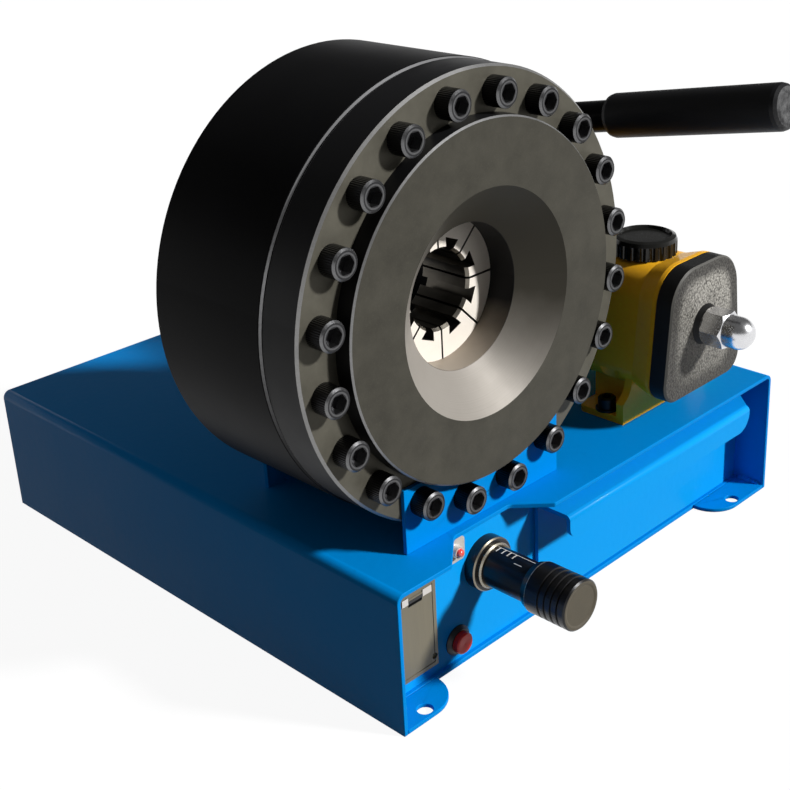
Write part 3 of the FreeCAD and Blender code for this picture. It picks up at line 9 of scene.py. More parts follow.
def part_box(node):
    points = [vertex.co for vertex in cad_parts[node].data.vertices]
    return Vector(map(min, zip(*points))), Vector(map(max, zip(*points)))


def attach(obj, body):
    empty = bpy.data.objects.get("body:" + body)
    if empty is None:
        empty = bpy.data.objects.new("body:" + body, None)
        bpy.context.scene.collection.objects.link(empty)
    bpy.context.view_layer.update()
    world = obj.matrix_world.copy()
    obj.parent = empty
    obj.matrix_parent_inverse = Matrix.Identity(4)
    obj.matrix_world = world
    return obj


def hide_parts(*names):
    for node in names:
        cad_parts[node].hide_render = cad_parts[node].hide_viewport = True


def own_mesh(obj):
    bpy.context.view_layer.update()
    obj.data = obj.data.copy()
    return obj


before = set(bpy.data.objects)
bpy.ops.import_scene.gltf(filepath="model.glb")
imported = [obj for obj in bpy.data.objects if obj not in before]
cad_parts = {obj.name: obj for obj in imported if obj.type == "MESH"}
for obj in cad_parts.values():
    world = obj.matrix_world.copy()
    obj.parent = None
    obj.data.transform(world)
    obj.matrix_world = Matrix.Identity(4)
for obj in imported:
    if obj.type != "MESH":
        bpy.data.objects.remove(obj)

bl_info = {
    "name": "Hose crimping machine",
    "version": (1, 0, 0),
    "blender": (4, 5, 0),
    "location": "View3D > Sidebar > Crimper",
    "description": "Dresses the hose crimping machine and sets its stage",
    "category": "Object",
}

# Places read from the frame, in metres
cover_low, cover_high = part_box("head_cover")
body_low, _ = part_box("head_body")
barrel_low, barrel_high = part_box("micrometer_barrel")
thimble_low, thimble_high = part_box("micrometer_thimble")
shell_low, shell_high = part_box("base_shell")
plate_low, plate_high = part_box("bottom_plate")
cap_low, cap_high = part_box("pump_end_cap")
battery_low, battery_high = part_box("battery_drawer")
head_x = (cover_low.x + cover_high.x) / 2
head_z = (cover_low.z + cover_high.z) / 2
cover_radius = (cover_high.x - cover_low.x) / 2
joint_y = body_low.y
micrometer_x = (barrel_low.x + barrel_high.x) / 2
micrometer_z = (barrel_low.z + barrel_high.z) / 2
pump_x = (cap_low.x + cap_high.x) / 2

# Sizes of the solids that the finishes and springs follow
boss_radius = 0.110
boss_chamfer = 0.0013
cover_chamfer = 0.0016
mouth_radius = 0.070
mouth_depth = 0.0214
hole_radius = 0.045
screw_circle = 0.122
screw_head_radius = 0.009
screw_rim = 0.0016
screw_count = 20
screw_first_angle = math.radians(9.0)
socket_radius = 0.0061
socket_worn = (0.0058, 0.0068)
die_count = 8
die_close_travel = 0.0015
tab_x = battery_low.x + 0.0139
tab_half_width = 0.0059
sheet = 0.003

# Room that a mask leaves past the edge of its surface
mask_room = 0.0002

# Camera of the photograph
picture_width = 790
camera_place = Vector((-0.63164, -0.69683, 0.52629))
camera_forward = Vector((0.65569, 0.64678, -0.38954))
camera_up = Vector((0.30520, 0.24484, 0.92028))
focal_pixels = 1366.8
shift_right_pixels = -50.2
shift_up_pixels = -51.7
sensor = 36.0

# Direction that the key light comes from
light_from = Vector((0.44, -0.74, 0.51))


class CrimperColours(bpy.types.PropertyGroup):
    """Colours of the machine's paints, metals, plastic and rubber"""
    paint: bpy.props.FloatVectorProperty(
        name="Base paint", description="Gloss paint of the sheet steel base",
        subtype="COLOR", size=3, min=0, max=1, default=(0.0, 0.245, 0.68))
    # Painted sheen: the front paint is a paler, more cyan copy of the base paint
    front: bpy.props.FloatVectorProperty(
        name="Front paint", description="The fresher paint of the front panel and the drawer",
        subtype="COLOR", size=3, min=0, max=1, default=(0.004, 0.33, 0.82))
    tank: bpy.props.FloatVectorProperty(
        name="Tank paint", description="Gloss paint of the pump's cast tank",
        subtype="COLOR", size=3, min=0, max=1, default=(1.0, 0.5, 0.02))
    oxide: bpy.props.FloatVectorProperty(
        name="Black oxide", description="Blackened steel of the head and its screws",
        subtype="COLOR", size=3, min=0, max=1, default=(0.012, 0.012, 0.013))
    disc: bpy.props.FloatVectorProperty(
        name="Cover disc", description="Satin steel of the raised disc round the mouth",
        subtype="COLOR", size=3, min=0, max=1, default=(0.112, 0.105, 0.083))
    steel: bpy.props.FloatVectorProperty(
        name="Bare steel", description="Turned and ground steel",
        subtype="COLOR", size=3, min=0, max=1, default=(0.56, 0.56, 0.57))
    red: bpy.props.FloatVectorProperty(
        name="Red", description="Push button and indicator lamp",
        subtype="COLOR", size=3, min=0, max=1, default=(0.92, 0.03, 0.02))
    plastic: bpy.props.FloatVectorProperty(
        name="Black plastic", description="Filler cap, knob and bezels",
        subtype="COLOR", size=3, min=0, max=1, default=(0.012, 0.012, 0.011))
    rubber: bpy.props.FloatVectorProperty(
        name="Rubber", description="Lever grip and seals",
        subtype="COLOR", size=3, min=0, max=1, default=(0.005, 0.005, 0.006))


class CrimperSizes(bpy.types.PropertyGroup):
    """Sizes of the micrometer's scale and of the weld beads"""
    tick_pitch: bpy.props.FloatProperty(
        name="Scale pitch", description="Distance between two lines of the barrel's scale",
        unit="LENGTH", default=0.0044)
    tick_start: bpy.props.FloatProperty(
        name="Scale start", description="Distance of one line from the thimble's edge at rest",
        unit="LENGTH", default=0.0167)
    tick_width: bpy.props.FloatProperty(
        name="Scale line", description="Width of a line of the barrel's scale",
        unit="LENGTH", default=0.0009)
    weld_radius: bpy.props.FloatProperty(
        name="Weld", description="Radius of the weld beads at the foot ears",
        unit="LENGTH", default=0.0026)
    weld_pitch: bpy.props.FloatProperty(
        name="Weld step", description="Distance between two ripples of a weld bead",
        unit="LENGTH", default=0.0022)


class StageLook(bpy.types.PropertyGroup):
    """Floor and light"""
    floor: bpy.props.FloatVectorProperty(
        name="Floor", description="Colour of the floor and backdrop",
        subtype="COLOR", size=3, min=0, max=1, default=(0.1, 0.1, 0.1))
    glow: bpy.props.FloatProperty(
        name="Floor glow", description="Light that the camera and reflections see on the floor",
        default=0.93)
    key: bpy.props.FloatProperty(
        name="Key light", description="Strength of the lamp from the front right", default=4.4)
    softness: bpy.props.FloatProperty(
        name="Softness", description="Angle that the key light spans",
        subtype="ANGLE", default=math.radians(6.0))
    sky: bpy.props.FloatProperty(
        name="Room light", description="Strength of the even light of the room", default=0.12)


def colours():
    return bpy.context.scene.crimper_colours


def sizes():
    return bpy.context.scene.crimper_sizes


def stage_look():
    return bpy.context.scene.crimper_stage


class Value:
    """A number that varies over a surface; its arithmetic adds Math nodes."""

    def __init__(self, finish, socket):
        self.finish = finish
        self.socket = socket

    def maths(self, operation, *others, clamp=False):
        return self.finish.maths(operation, self, *others, clamp=clamp)

    def __add__(self, other):
        return self.maths("ADD", other)

    __radd__ = __add__

    def __mul__(self, other):
        return self.maths("MULTIPLY", other)

    __rmul__ = __mul__

    def __sub__(self, other):
        return self.maths("SUBTRACT", other)

    def __rsub__(self, other):
        return self.finish.maths("SUBTRACT", other, self)

    def __truediv__(self, other):
        return self.maths("DIVIDE", other)

    def __rtruediv__(self, other):
        return self.finish.maths("DIVIDE", other, self)

    def __pow__(self, other):
        return self.maths("POWER", other)

    def __rpow__(self, other):
        return self.finish.maths("POWER", other, self)

    def __gt__(self, other):
        return self.maths("GREATER_THAN", other)

    def __lt__(self, other):
        return self.maths("LESS_THAN", other)

    def between(self, low, high):
        """1 between low and high, 0 elsewhere."""
        return (self > low) * (self < high)

    def near(self, middle, room):
        """1 within room of the middle, 0 elsewhere."""
        return (self - middle).maths("ABSOLUTE") < room

    def at_most_one(self):
        return self.maths("MINIMUM", 1.0)

    def ramp(self, low, high):
        """Goes from 0 at low to 1 at high and stays there."""
        return ((self - low) / (high - low)).maths("ADD", 0.0, clamp=True)


class Finish:
    """A procedural material with one Principled shader, built from plain steps."""

    def __init__(self, name, colour, roughness=0.5, metallic=0.0, specular=0.5, coat=0.0,
                 coat_roughness=0.1):
        self.material = bpy.data.materials.new(name)
        self.material.use_nodes = True
        self.tree = self.material.node_tree
        self.shader = self.tree.nodes["Principled BSDF"]
        self.places = self.node("ShaderNodeTexCoord")
        self.parts = {}
        self.put("Base Color", (*colour, 1.0))
        self.put("Roughness", roughness)
        self.put("Metallic", metallic)
        self.put("Specular IOR Level", specular)
        self.put("Coat Weight", coat)
        self.put("Coat Roughness", coat_roughness)

    def link(self, value, socket):
        if isinstance(value, Value):
            self.tree.links.new(value.socket, socket)
        elif isinstance(value, bpy.types.NodeSocket):
            self.tree.links.new(value, socket)
        else:
            socket.default_value = value

    def put(self, name, value):
        self.link(value, self.shader.inputs[name])

    def node(self, kind, settings=None, sockets=None):
        """A node of any type, with its settings first and then its sockets by name or number."""
        made = self.tree.nodes.new(kind)
        for name, value in (settings or {}).items():
            setattr(made, name, value)
        for name, value in (sockets or {}).items():
            self.link(value, made.inputs[name])
        return made

    def maths(self, operation, *values, clamp=False):
        made = self.node("ShaderNodeMath", {"operation": operation, "use_clamp": clamp},
                         dict(enumerate(values)))
        return Value(self, made.outputs[0])

    def part(self, kind, axis):
        """One of the three numbers of a kind of coordinates."""
        if kind not in self.parts:
            self.parts[kind] = self.node("ShaderNodeSeparateXYZ",
                                         sockets={0: self.places.outputs[kind]})
        return Value(self, self.parts[kind].outputs[axis])

    def along(self, axis):
        """The place on the object at rest along X, Y or Z, in metres."""
        return self.part("Object", axis)

    def facing(self, axis):
        """How far the surface faces along X, Y or Z at rest, from -1 to 1."""
        return self.part("Normal", axis)

    def stretched(self, x=1.0, y=1.0, z=1.0):
        """The place, scaled by its own factor along each axis."""
        made = self.node("ShaderNodeVectorMath", {"operation": "MULTIPLY"},
                         {0: self.places.outputs["Object"], 1: (x, y, z)})
        return made.outputs[0]

    def noise(self, size, detail=2.0, roughness=0.5, where=None):
        """Soft noise from 0 to 1 whose features are about size metres wide."""
        made = self.node("ShaderNodeTexNoise", None,
                         {"Vector": where or self.places.outputs["Object"], "Scale": 1.0 / size,
                          "Detail": detail, "Roughness": roughness})
        return Value(self, made.outputs["Fac"])

    def grooves(self, distance, size, detail):
        """Noise along one distance only, as a turning tool leaves it."""
        made = self.node("ShaderNodeTexNoise", {"noise_dimensions": "1D"},
                         {"W": distance / size, "Scale": 1.0, "Detail": detail})
        return Value(self, made.outputs["Fac"])

    def pebbles(self, size):
        """Rounded cells about size metres wide, 0 at their middles."""
        made = self.node("ShaderNodeTexVoronoi", {"feature": "SMOOTH_F1"},
                         {"Vector": self.places.outputs["Object"], "Scale": 1.0 / size})
        return Value(self, made.outputs["Distance"])

    def mix(self, mask, first, second):
        """Colour first where the mask is 0 and second where it is 1."""
        first, second = [end if isinstance(end, bpy.types.NodeSocket) else (*end, 1.0)
                         for end in (first, second)]
        made = self.node("ShaderNodeMix", {"data_type": "RGBA"}, {0: mask, 6: first, 7: second})
        return made.outputs[2]

    def relief(self, height, depth):
        """Bump of a height from 0 to 1 that is depth metres deep."""
        made = self.node("ShaderNodeBump", None,
                         {"Strength": 1.0, "Distance": depth, "Height": height})
        self.put("Normal", made.outputs[0])


def darker(colour, share):
    """A share of a colour's light; more than 1 makes it paler."""
    return tuple(part * share for part in colour)


def blended(first, second, share):
    """The colour that lies a share of the way from the first to the second."""
    return tuple(a + (b - a) * share for a, b in zip(first, second))


def dress(material, *nodes):
    """Give CAD nodes a finish."""
    for name in nodes:
        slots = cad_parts[name].data.materials
        slots.clear()
        slots.append(material)


def round_edges(width, *nodes):
    """Small rounds on the sharp edges of CAD nodes, so that they catch the light."""
    for name in nodes:
        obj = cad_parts[name]
        weld = obj.modifiers.new("Join", "WELD")
        weld.merge_threshold = 0.00001
        bevel = obj.modifiers.new("Edges", "BEVEL")
        bevel.width = width
        bevel.segments = 2
        bevel.limit_method = "ANGLE"
        bevel.angle_limit = math.radians(30.0)
        bevel.harden_normals = True
        bevel.use_clamp_overlap = True


# Masks on round pieces
def head_distance(finish):
    """Distance of the surface from the head's axis."""
    across = finish.along("X") - head_x
    up = finish.along("Z") - head_z
    return (across * across + up * up).maths("SQRT")


def micrometer_angle(finish):
    """Angle round the micrometer's axis, 0 at its top."""
    return (finish.along("X") - micrometer_x).maths("ARCTAN2", finish.along("Z") - micrometer_z)


# Finishes
def gloss_paint(name, colour):
    """Sprayed gloss enamel with a slight orange peel."""
    finish = Finish(name, colour, roughness=0.32, specular=0.03, coat=0.02, coat_roughness=0.05)
    cloud = finish.noise(0.12, 3.0)
    dust = finish.noise(0.0011, 2.0, 0.7)
    peel = finish.noise(0.006, 1.0)
    finish.put("Base Color", finish.mix(cloud, darker(colour, 0.96), colour))
    finish.put("Roughness", 0.26 + 0.12 * finish.noise(0.04) + 0.05 * dust)
    finish.relief(peel + 0.25 * dust, 0.00012)
    return finish.material


def cover_finish():
    """Satin disc and flange, bare turned mouth and a dark hole wall in one solid, with painted
    shade and light on the mouth and the hole wall.
    """
    look = colours()
    disc = look.disc[:]
    blackened = darker(look.oxide[:], 0.8)
    finish = Finish("cover", disc, roughness=0.42, metallic=0.6, specular=0.12)
    y = finish.along("Y")
    sideways = finish.facing("X")
    forward = finish.facing("Y")
    upward = finish.facing("Z")
    radius = head_distance(finish)
    smear = finish.noise(0.05, 4.0, 0.6)
    cloud = finish.noise(0.017, 5.0, 0.65).ramp(0.3, 0.7)
    fine = finish.noise(0.0012, 3.0, 0.7)
    rings = finish.grooves(radius, 0.0005, 2.0)

    # Where each surface lies
    front = cover_low.y
    on_disc = radius < boss_radius + mask_room
    in_hole = radius < hole_radius + mask_room
    in_mouth = radius.between(hole_radius + mask_room, mouth_radius - mask_room / 2) * \
        y.between(front + mask_room / 2, front + mouth_depth + 2 * mask_room)
    step_wall = (radius > boss_radius - mask_room) * forward.between(-0.2, 0.2)
    front_edges = forward.between(-0.92, -0.3) * (radius > boss_radius - boss_chamfer)
    joint_edge = (y > joint_y - cover_chamfer) * (radius > cover_radius - cover_chamfer)
    edge = (front_edges + joint_edge).at_most_one()

    # Colours, from the flange inwards
    patches = smear * 0.45 + cloud * 0.55
    flange = finish.mix(patches, darker(disc, 0.7), darker(disc, 1.2))
    boss = finish.mix(patches, darker(disc, 0.38), darker(disc, 0.72))
    satin = finish.mix(on_disc, flange, boss)
    satin = finish.mix(fine.ramp(0.55, 0.8) * 0.25, satin, darker(disc, 1.3))
    # Painted light and shade on the mouth: bright bare steel on its lower and left side, painted
    # dark on its upper and right side, broken by the smear
    painted_light_side = (upward * 0.65 + sideways * 0.5 + (smear - 0.5) * 0.25).ramp(-0.25, 0.42)
    turned = finish.mix(rings * 0.5 + smear * 0.5, (0.25, 0.228, 0.2), (0.345, 0.32, 0.288))
    mouth = finish.mix(painted_light_side, (0.048, 0.044, 0.034), turned)
    # Painted light: the blackened hole wall turns pale warm steel where it faces up
    hole = finish.mix((upward + (smear - 0.5) * 0.4).ramp(0.35, 0.95), blackened,
                      (0.3, 0.255, 0.205))
    colour = finish.mix(step_wall, satin, blackened)
    colour = finish.mix(in_mouth, colour, mouth)
    colour = finish.mix(in_hole, colour, hole)
    colour = finish.mix(edge * (0.4 + 0.4 * fine), colour, darker(look.steel[:], 0.7))
    finish.put("Base Color", colour)
    finish.put("Metallic", (0.3 - 0.15 * in_mouth + 0.5 * edge) * (1.0 - step_wall) *
               (1.0 - 0.8 * in_hole))
    finish.put("Roughness", 0.34 + 0.14 * smear + 0.06 * cloud +
               in_mouth * (0.1 * rings - 0.06 * smear))
    finish.relief(rings * 0.4 + fine * 0.5, 0.00003)
    return finish.material


def body_finish():
    """Blackened cylinder with faint turning marks and a rubbed edge at the joint, which is kept to
    the edge's upper side as a painted highlight.
    """
    look = colours()
    oxide = look.oxide[:]
    finish = Finish("body", oxide, roughness=0.4, specular=0.03)
    y = finish.along("Y")
    rings = finish.grooves(y, 0.0006, 3.0)
    smear = finish.noise(0.07, 5.0, 0.6)
    fine = finish.noise(0.001, 3.0, 0.7)
    edge_width = 0.0011
    edge_height = 0.0006
    edge = (y < joint_y + edge_width) * (head_distance(finish) > cover_radius - edge_height)
    # Painted highlight: the rubbed steel edge is kept to where the edge faces up and fades out
    # below
    rubbed = edge * finish.facing("Z").ramp(-0.5, 0.45) * (0.5 + 0.5 * fine)
    colour = finish.mix(smear, darker(oxide, 0.35), darker(oxide, 0.8))
    colour = finish.mix(fine.ramp(0.6, 0.9) * 0.5, colour, darker(oxide, 1.6))
    finish.put("Base Color", finish.mix(rubbed, colour, look.steel[:]))
    finish.put("Metallic", rubbed)
    finish.put("Roughness", 0.32 + 0.14 * smear + 0.05 * rings - 0.12 * edge)
    finish.relief(rings * 0.6 + fine * 0.4, 0.000025)
    return finish.material


def screw_finish():
    """Blackened cap screws: knurled sides, rubbed rims and rubbed sockets."""
    look = colours()
    oxide = look.oxide[:]
    finish = Finish("screws", oxide, roughness=0.38, metallic=1.0)
    forward = finish.facing("Y")
    fine = finish.noise(0.0011, 3.0, 0.7)

    # Place on the nearest screw, across and outward from its middle
    radius = head_distance(finish)
    angle = (finish.along("Z") - head_z).maths("ARCTAN2", finish.along("X") - head_x)
    step = 2 * math.pi / screw_count
    turn = (angle - (math.pi / 2 + screw_first_angle)) / step
    turn = (turn - turn.maths("ROUND")) * step
    across = radius * turn.maths("SINE")
    outward = radius * turn.maths("COSINE") - screw_circle
    local = (across * across + outward * outward).maths("SQRT")

    upright = forward.between(-0.3, 0.3)
    knurl_depth = 0.0005
    knurled = upright * (local > screw_head_radius - knurl_depth)
    socket = upright * (local < socket_radius)
    rim = forward.between(-0.95, -0.35) * (local > screw_head_radius - screw_rim)
    top = (forward < -0.95) * (0.12 + 0.4 * local.between(*socket_worn))
    worn = (rim * 0.75 + socket + top).at_most_one()
    finish.put("Base Color", finish.mix(worn * (0.3 + 0.6 * fine), darker(oxide, 1.2),
                                        darker(look.steel[:], 0.62)))
    finish.put("Roughness", 0.24 + 0.25 * fine)
    knurl_lines = 44.0
    knurl = (across.maths("ARCTAN2", outward) * knurl_lines).maths("SINE") * knurled
    finish.relief(knurl * 0.5 + 0.5 + fine * 0.15, 0.00022)
    return finish.material


def die_finish():
    """Milled die steel: pale front faces and dark bores, slots and sides."""
    finish = Finish("dies", colours().steel[:], roughness=0.3, metallic=1.0)
    face = finish.facing("Y") < -0.9
    fine = finish.noise(0.0014, 4.0, 0.65)
    smear = finish.noise(0.012, 3.0)
    lines = finish.noise(0.0006, 2.0, 0.6, finish.stretched(y=0.06))
    dark = finish.mix(smear, (0.1, 0.09, 0.075), (0.24, 0.22, 0.185))
    pale = finish.mix(smear * 0.5 + fine * 0.5, (0.86, 0.79, 0.69), (1.0, 0.93, 0.83))
    finish.put("Base Color", finish.mix(face, dark, pale))
    finish.put("Metallic", 1.0 - 0.9 * face)
    finish.put("Roughness", 0.2 + 0.18 * fine + 0.08 * smear + 0.15 * face)
    finish.relief(lines * 0.7 + fine * 0.3, 0.00003)
    return finish.material


def metal(name, colour, roughness=0.35, grain=0.002):
    """Plain worked metal with fine grain and light smears."""
    finish = Finish(name, colour, roughness=roughness, metallic=1.0)
    fine = finish.noise(grain, 4.0, 0.65)
    smear = finish.noise(0.02, 3.0)
    finish.put("Base Color", finish.mix(smear * 0.6 + fine * 0.4, darker(colour, 0.75), colour))
    finish.put("Roughness", roughness - 0.08 + 0.16 * fine + 0.06 * smear)
    finish.relief(fine, 0.00002)
    return finish.material


def moulded(name, colour, roughness=0.5, grain=0.0008, depth=0.00004, paler=1.7):
    """Moulded plastic or rubber with a fine grain, paler where it is worn."""
    finish = Finish(name, colour, roughness=roughness, specular=0.35)
    fine = finish.noise(grain, 3.0, 0.7)
    wear = finish.noise(0.015, 4.0, 0.6)
    finish.put("Base Color", finish.mix(wear, colour, darker(colour, paler)))
    finish.put("Roughness", roughness - 0.1 + 0.2 * wear)
    finish.relief(fine, depth)
    return finish.material


def chrome_finish():
    """Chrome plate, a little clouded."""
    finish = Finish("chrome", (0.72, 0.72, 0.73), roughness=0.12, metallic=1.0)
    wear = finish.noise(0.004, 3.0, 0.6)
    finish.put("Roughness", 0.18 + 0.16 * wear)
    finish.put("Base Color", finish.mix(wear, (0.66, 0.66, 0.68), (0.84, 0.84, 0.85)))
    finish.relief(wear, 0.00003)
    return finish.material


def barrel_finish():
    """Black anodised barrel with a pale engraved scale along its upper side."""
    black = (0.006, 0.006, 0.007)
    finish = Finish("barrel", black, roughness=0.32, metallic=0.3)
    size = sizes()
    angle = micrometer_angle(finish)
    along = finish.along("Y") - thimble_high.y
    fine = finish.noise(0.0009, 3.0, 0.7)

    # The long line, the lines across it and one short line beside them
    scale_angle = math.radians(11.0)
    scale_reach = (0.0145, 0.0322)
    short_angle = math.radians(-22.0)
    short_reach = (0.007, 0.0132)
    long_line = angle.near(scale_angle, 0.022)
    step = (along - size.tick_start) / size.tick_pitch
    lines = step.near(step.maths("ROUND"), size.tick_width / size.tick_pitch / 2)
    lines = lines * angle.between(-scale_angle, scale_angle) * along.between(*scale_reach)
    short_line = angle.near(short_angle, 0.02) * along.between(*short_reach)
    marks = (lines + long_line + short_line).at_most_one()
    finish.put("Base Color", finish.mix(marks, black, (0.75, 0.72, 0.66)))
    finish.put("Roughness", 0.24 + 0.2 * fine + marks * 0.2)
    finish.put("Metallic", 0.3 - marks * 0.3)
    finish.relief(fine * 0.3 - marks, 0.00004)
    return finish.material


def flange_finish():
    """Black flange with a rubbed line round its front edge."""
    black = (0.01, 0.011, 0.014)
    finish = Finish("flange", black, roughness=0.25, metallic=0.3)
    fine = finish.noise(0.0011, 3.0, 0.7)
    line = finish.facing("Y").between(-0.9, -0.3)
    finish.put("Base Color", finish.mix(line, black, (0.3, 0.265, 0.2)))
    finish.put("Metallic", 0.3 + 0.5 * line)
    finish.put("Roughness", 0.2 + 0.2 * fine)
    finish.relief(fine, 0.00002)
    return finish.material


def ring_finish():
    """Steel ring, browned on its round side and bright on its front edge."""
    finish = Finish("ring", (0.2, 0.16, 0.1), roughness=0.25, metallic=0.9)
    fine = finish.noise(0.0012, 3.0, 0.7)
    bright = finish.facing("Y").between(-0.95, -0.3)
    browned = finish.mix(fine, (0.1, 0.085, 0.06), (0.22, 0.19, 0.14))
    finish.put("Base Color", finish.mix(bright, browned, (0.42, 0.38, 0.3)))
    finish.put("Metallic", 0.9 - 0.3 * bright)
    finish.put("Roughness", 0.18 + 0.2 * fine)
    finish.relief(fine, 0.00002)
    return finish.material


def thimble_finish():
    """Black anodised thimble: grooved sleeve with a painted highlight line at the bevel's edge and
    a dull flat end.
    """
    black = (0.006, 0.006, 0.007)
    finish = Finish("thimble", black, roughness=0.3, metallic=0.3)
    y = finish.along("Y")
    forward = finish.facing("Y")
    fine = finish.noise(0.0008, 3.0, 0.7)
    dull = finish.noise(0.006, 4.0)
    end_depth = 0.002
    line_from_edge = 0.0045
    line_half_width = 0.0003
    end = (forward < -0.9) * (y < thimble_low.y + end_depth)
    # Painted highlight: a thin pale line round the edge of the bevel, broken by fine noise
    painted_edge_glint = y.near(thimble_high.y - line_from_edge, line_half_width) * fine.ramp(0.3, 0.6)
    flat_end = finish.mix(dull, (0.05, 0.041, 0.023), (0.07, 0.057, 0.034))
    colour = finish.mix(end, black, flat_end)
    finish.put("Base Color", finish.mix(painted_edge_glint * 0.8, colour, (0.6, 0.54, 0.45)))
    finish.put("Roughness", 0.22 + 0.2 * fine + end * 0.25)
    finish.put("Metallic", 0.3 - 0.3 * end)
    knurl_lines = 60.0
    plain_length = 0.012
    knurled = (y < thimble_high.y - plain_length) * (forward > -0.3)
    knurl = (micrometer_angle(finish) * knurl_lines).maths("SINE") * knurled
    finish.relief(knurl * 0.15 + fine * 0.3, 0.0001)
    return finish.material


def battery_finish():
    """Brown-grey plate with pale worn strips at its top, beside the finger tab, and painted shade
    in a near-black band over the tab.
    """
    plate = (0.16, 0.14, 0.095)
    finish = Finish("battery_plate", plate, roughness=0.5)
    z = finish.along("Z")
    fine = finish.noise(0.0012, 3.0, 0.7)
    streak = finish.noise(0.002, 2.0, 0.6, finish.stretched(z=0.05))
    strip_height = 0.006
    strip_depth = 0.00015
    slot_low = battery_high.z - 0.0074
    slot_high = battery_high.z - 0.0026
    at_tab = finish.along("X").near(tab_x, tab_half_width)
    proud = (finish.along("Y") < battery_low.y + strip_depth) * (z > battery_high.z - strip_height)
    strips = proud * (1.0 - at_tab)
    # Painted shade: a near-black band over the tab, on the finger slot and the tab's front face
    # alike
    slot = at_tab * z.between(slot_low, slot_high)
    colour = finish.mix(streak * 0.6 + fine * 0.4, darker(plate, 0.8), darker(plate, 1.15))
    colour = finish.mix(strips, colour, (0.62, 0.58, 0.53))
    finish.put("Base Color", finish.mix(slot, colour, (0.01, 0.01, 0.01)))
    finish.put("Roughness", 0.4 + 0.2 * fine)
    finish.relief(fine * 0.6 + streak * 0.4, 0.00004)
    return finish.material


def bezel_finish():
    """Pale brushed plate of the indicator lamp."""
    finish = Finish("bezel", (0.7, 0.67, 0.62), roughness=0.35, metallic=0.35)
    brushed = finish.noise(0.0008, 3.0, 0.6, finish.stretched(x=0.1))
    smear = finish.noise(0.006, 3.0)
    finish.put("Base Color", finish.mix(smear * 0.6 + brushed * 0.4, (0.55, 0.5, 0.44),
                                        (0.82, 0.8, 0.76)))
    finish.put("Roughness", 0.25 + 0.2 * brushed)
    finish.relief(brushed, 0.00002)
    return finish.material


def cast_finish(name, colour, roughness, depth, coat=0.0):
    """Painted casting with a pebbled skin."""
    grain = 0.003
    finish = Finish(name, colour, roughness=roughness, specular=0.15, coat=coat,
                    coat_roughness=0.2)
    pebble = finish.pebbles(grain)
    wave = finish.noise(0.02, 3.0)
    fine = finish.noise(grain * 0.6, 2.0)
    finish.put("Base Color", finish.mix(pebble * 0.6 + wave * 0.4, darker(colour, 1.15),
                                        darker(colour, 0.9)))
    finish.put("Roughness", roughness - 0.08 + 0.16 * fine)
    finish.relief(pebble * -0.8 + fine * 0.4 + wave * 0.3, depth)
    return finish.material


def end_cap_finish():
    """Black casting whose front face is left coarse and pale, with a darker rounded border; painted
    light makes the face paler towards the upper right and darker towards the lower left.
    """
    finish = Finish("end_cap", (0.02, 0.02, 0.02), roughness=0.5, specular=0.3)
    forward = finish.facing("Y")
    pebble = finish.pebbles(0.0015)
    fine = finish.noise(0.0011, 3.0, 0.7)
    wave = finish.noise(0.03, 3.0)
    grain = (pebble * 0.9 + fine * 0.5 + wave * 0.2 - 0.25).ramp(0.15, 0.75)
    face = forward < -0.85
    edge = forward.between(-0.85, -0.4)

    # Place on the face, from -1 to 1 each way, and how near it is to the border
    rise = (finish.along("Z") - cap_low.z) / (cap_high.z - cap_low.z)
    half_width = (cap_high.x - cap_low.x) / 2 * (0.99 - 0.2 * rise)
    across = (finish.along("X") - pump_x) / half_width
    up = (rise - 0.5) * 2.0
    reach = (across.maths("ABSOLUTE") ** 4.0 + up.maths("ABSOLUTE") ** 4.0) ** 0.25
    border = reach.ramp(0.72, 0.86)
    # Painted light and shade: the grain's raised tops go from dark at the lower left of the face to
    # pale at its upper right
    upper = (up + across * 0.5).ramp(-1.0, 1.0)
    raised_grain_painted_light = finish.mix(upper, (0.17, 0.163, 0.145), (0.56, 0.535, 0.48))
    pale = finish.mix(grain, raised_grain_painted_light, (0.055, 0.052, 0.045))
    dim = finish.mix(grain, (0.085, 0.08, 0.07), (0.022, 0.02, 0.018))
    front = finish.mix(border, pale, dim)
    front = finish.mix(edge, front, (0.09, 0.087, 0.078))
    finish.put("Base Color", finish.mix((face + edge).at_most_one(), (0.006, 0.006, 0.006), front))
    finish.put("Roughness", 0.42 + 0.2 * fine)
    finish.relief((pebble * -0.9 + fine * 0.6) * (0.15 + 0.85 * face), 0.0005)
    return finish.material


def grip_finish():
    """Rubber grip, rubbed pale on its end face and the edge round it."""
    colour = colours().rubber[:]
    finish = Finish("grip", colour, roughness=0.55, specular=0.25)
    end = finish.facing("Y").ramp(-0.6, -0.95)
    scuff = finish.noise(0.004, 5.0, 0.7)
    fine = finish.noise(0.0008, 3.0, 0.7)
    streak = finish.noise(0.003, 3.0, 0.6, finish.stretched(y=0.08))
    rubbed = end * scuff.ramp(0.35, 0.7)
    base = finish.mix(streak, colour, darker(colour, 1.8))
    finish.put("Base Color", finish.mix(rubbed * 0.7, base, (0.2, 0.2, 0.2)))
    finish.put("Roughness", 0.42 + 0.2 * scuff)
    finish.relief(fine * 0.5 + streak * 0.4, 0.00006)
    return finish.material


def lens_finish():
    """Glossy red plastic with paler specks."""
    red = colours().red[:]
    finish = Finish("lens", red, roughness=0.12, coat=1.0, coat_roughness=0.05)
    pale = blended(red, (1.0, 0.3, 0.25), 0.4)
    finish.put("Base Color", finish.mix(finish.noise(0.002), red, pale))
    return finish.material


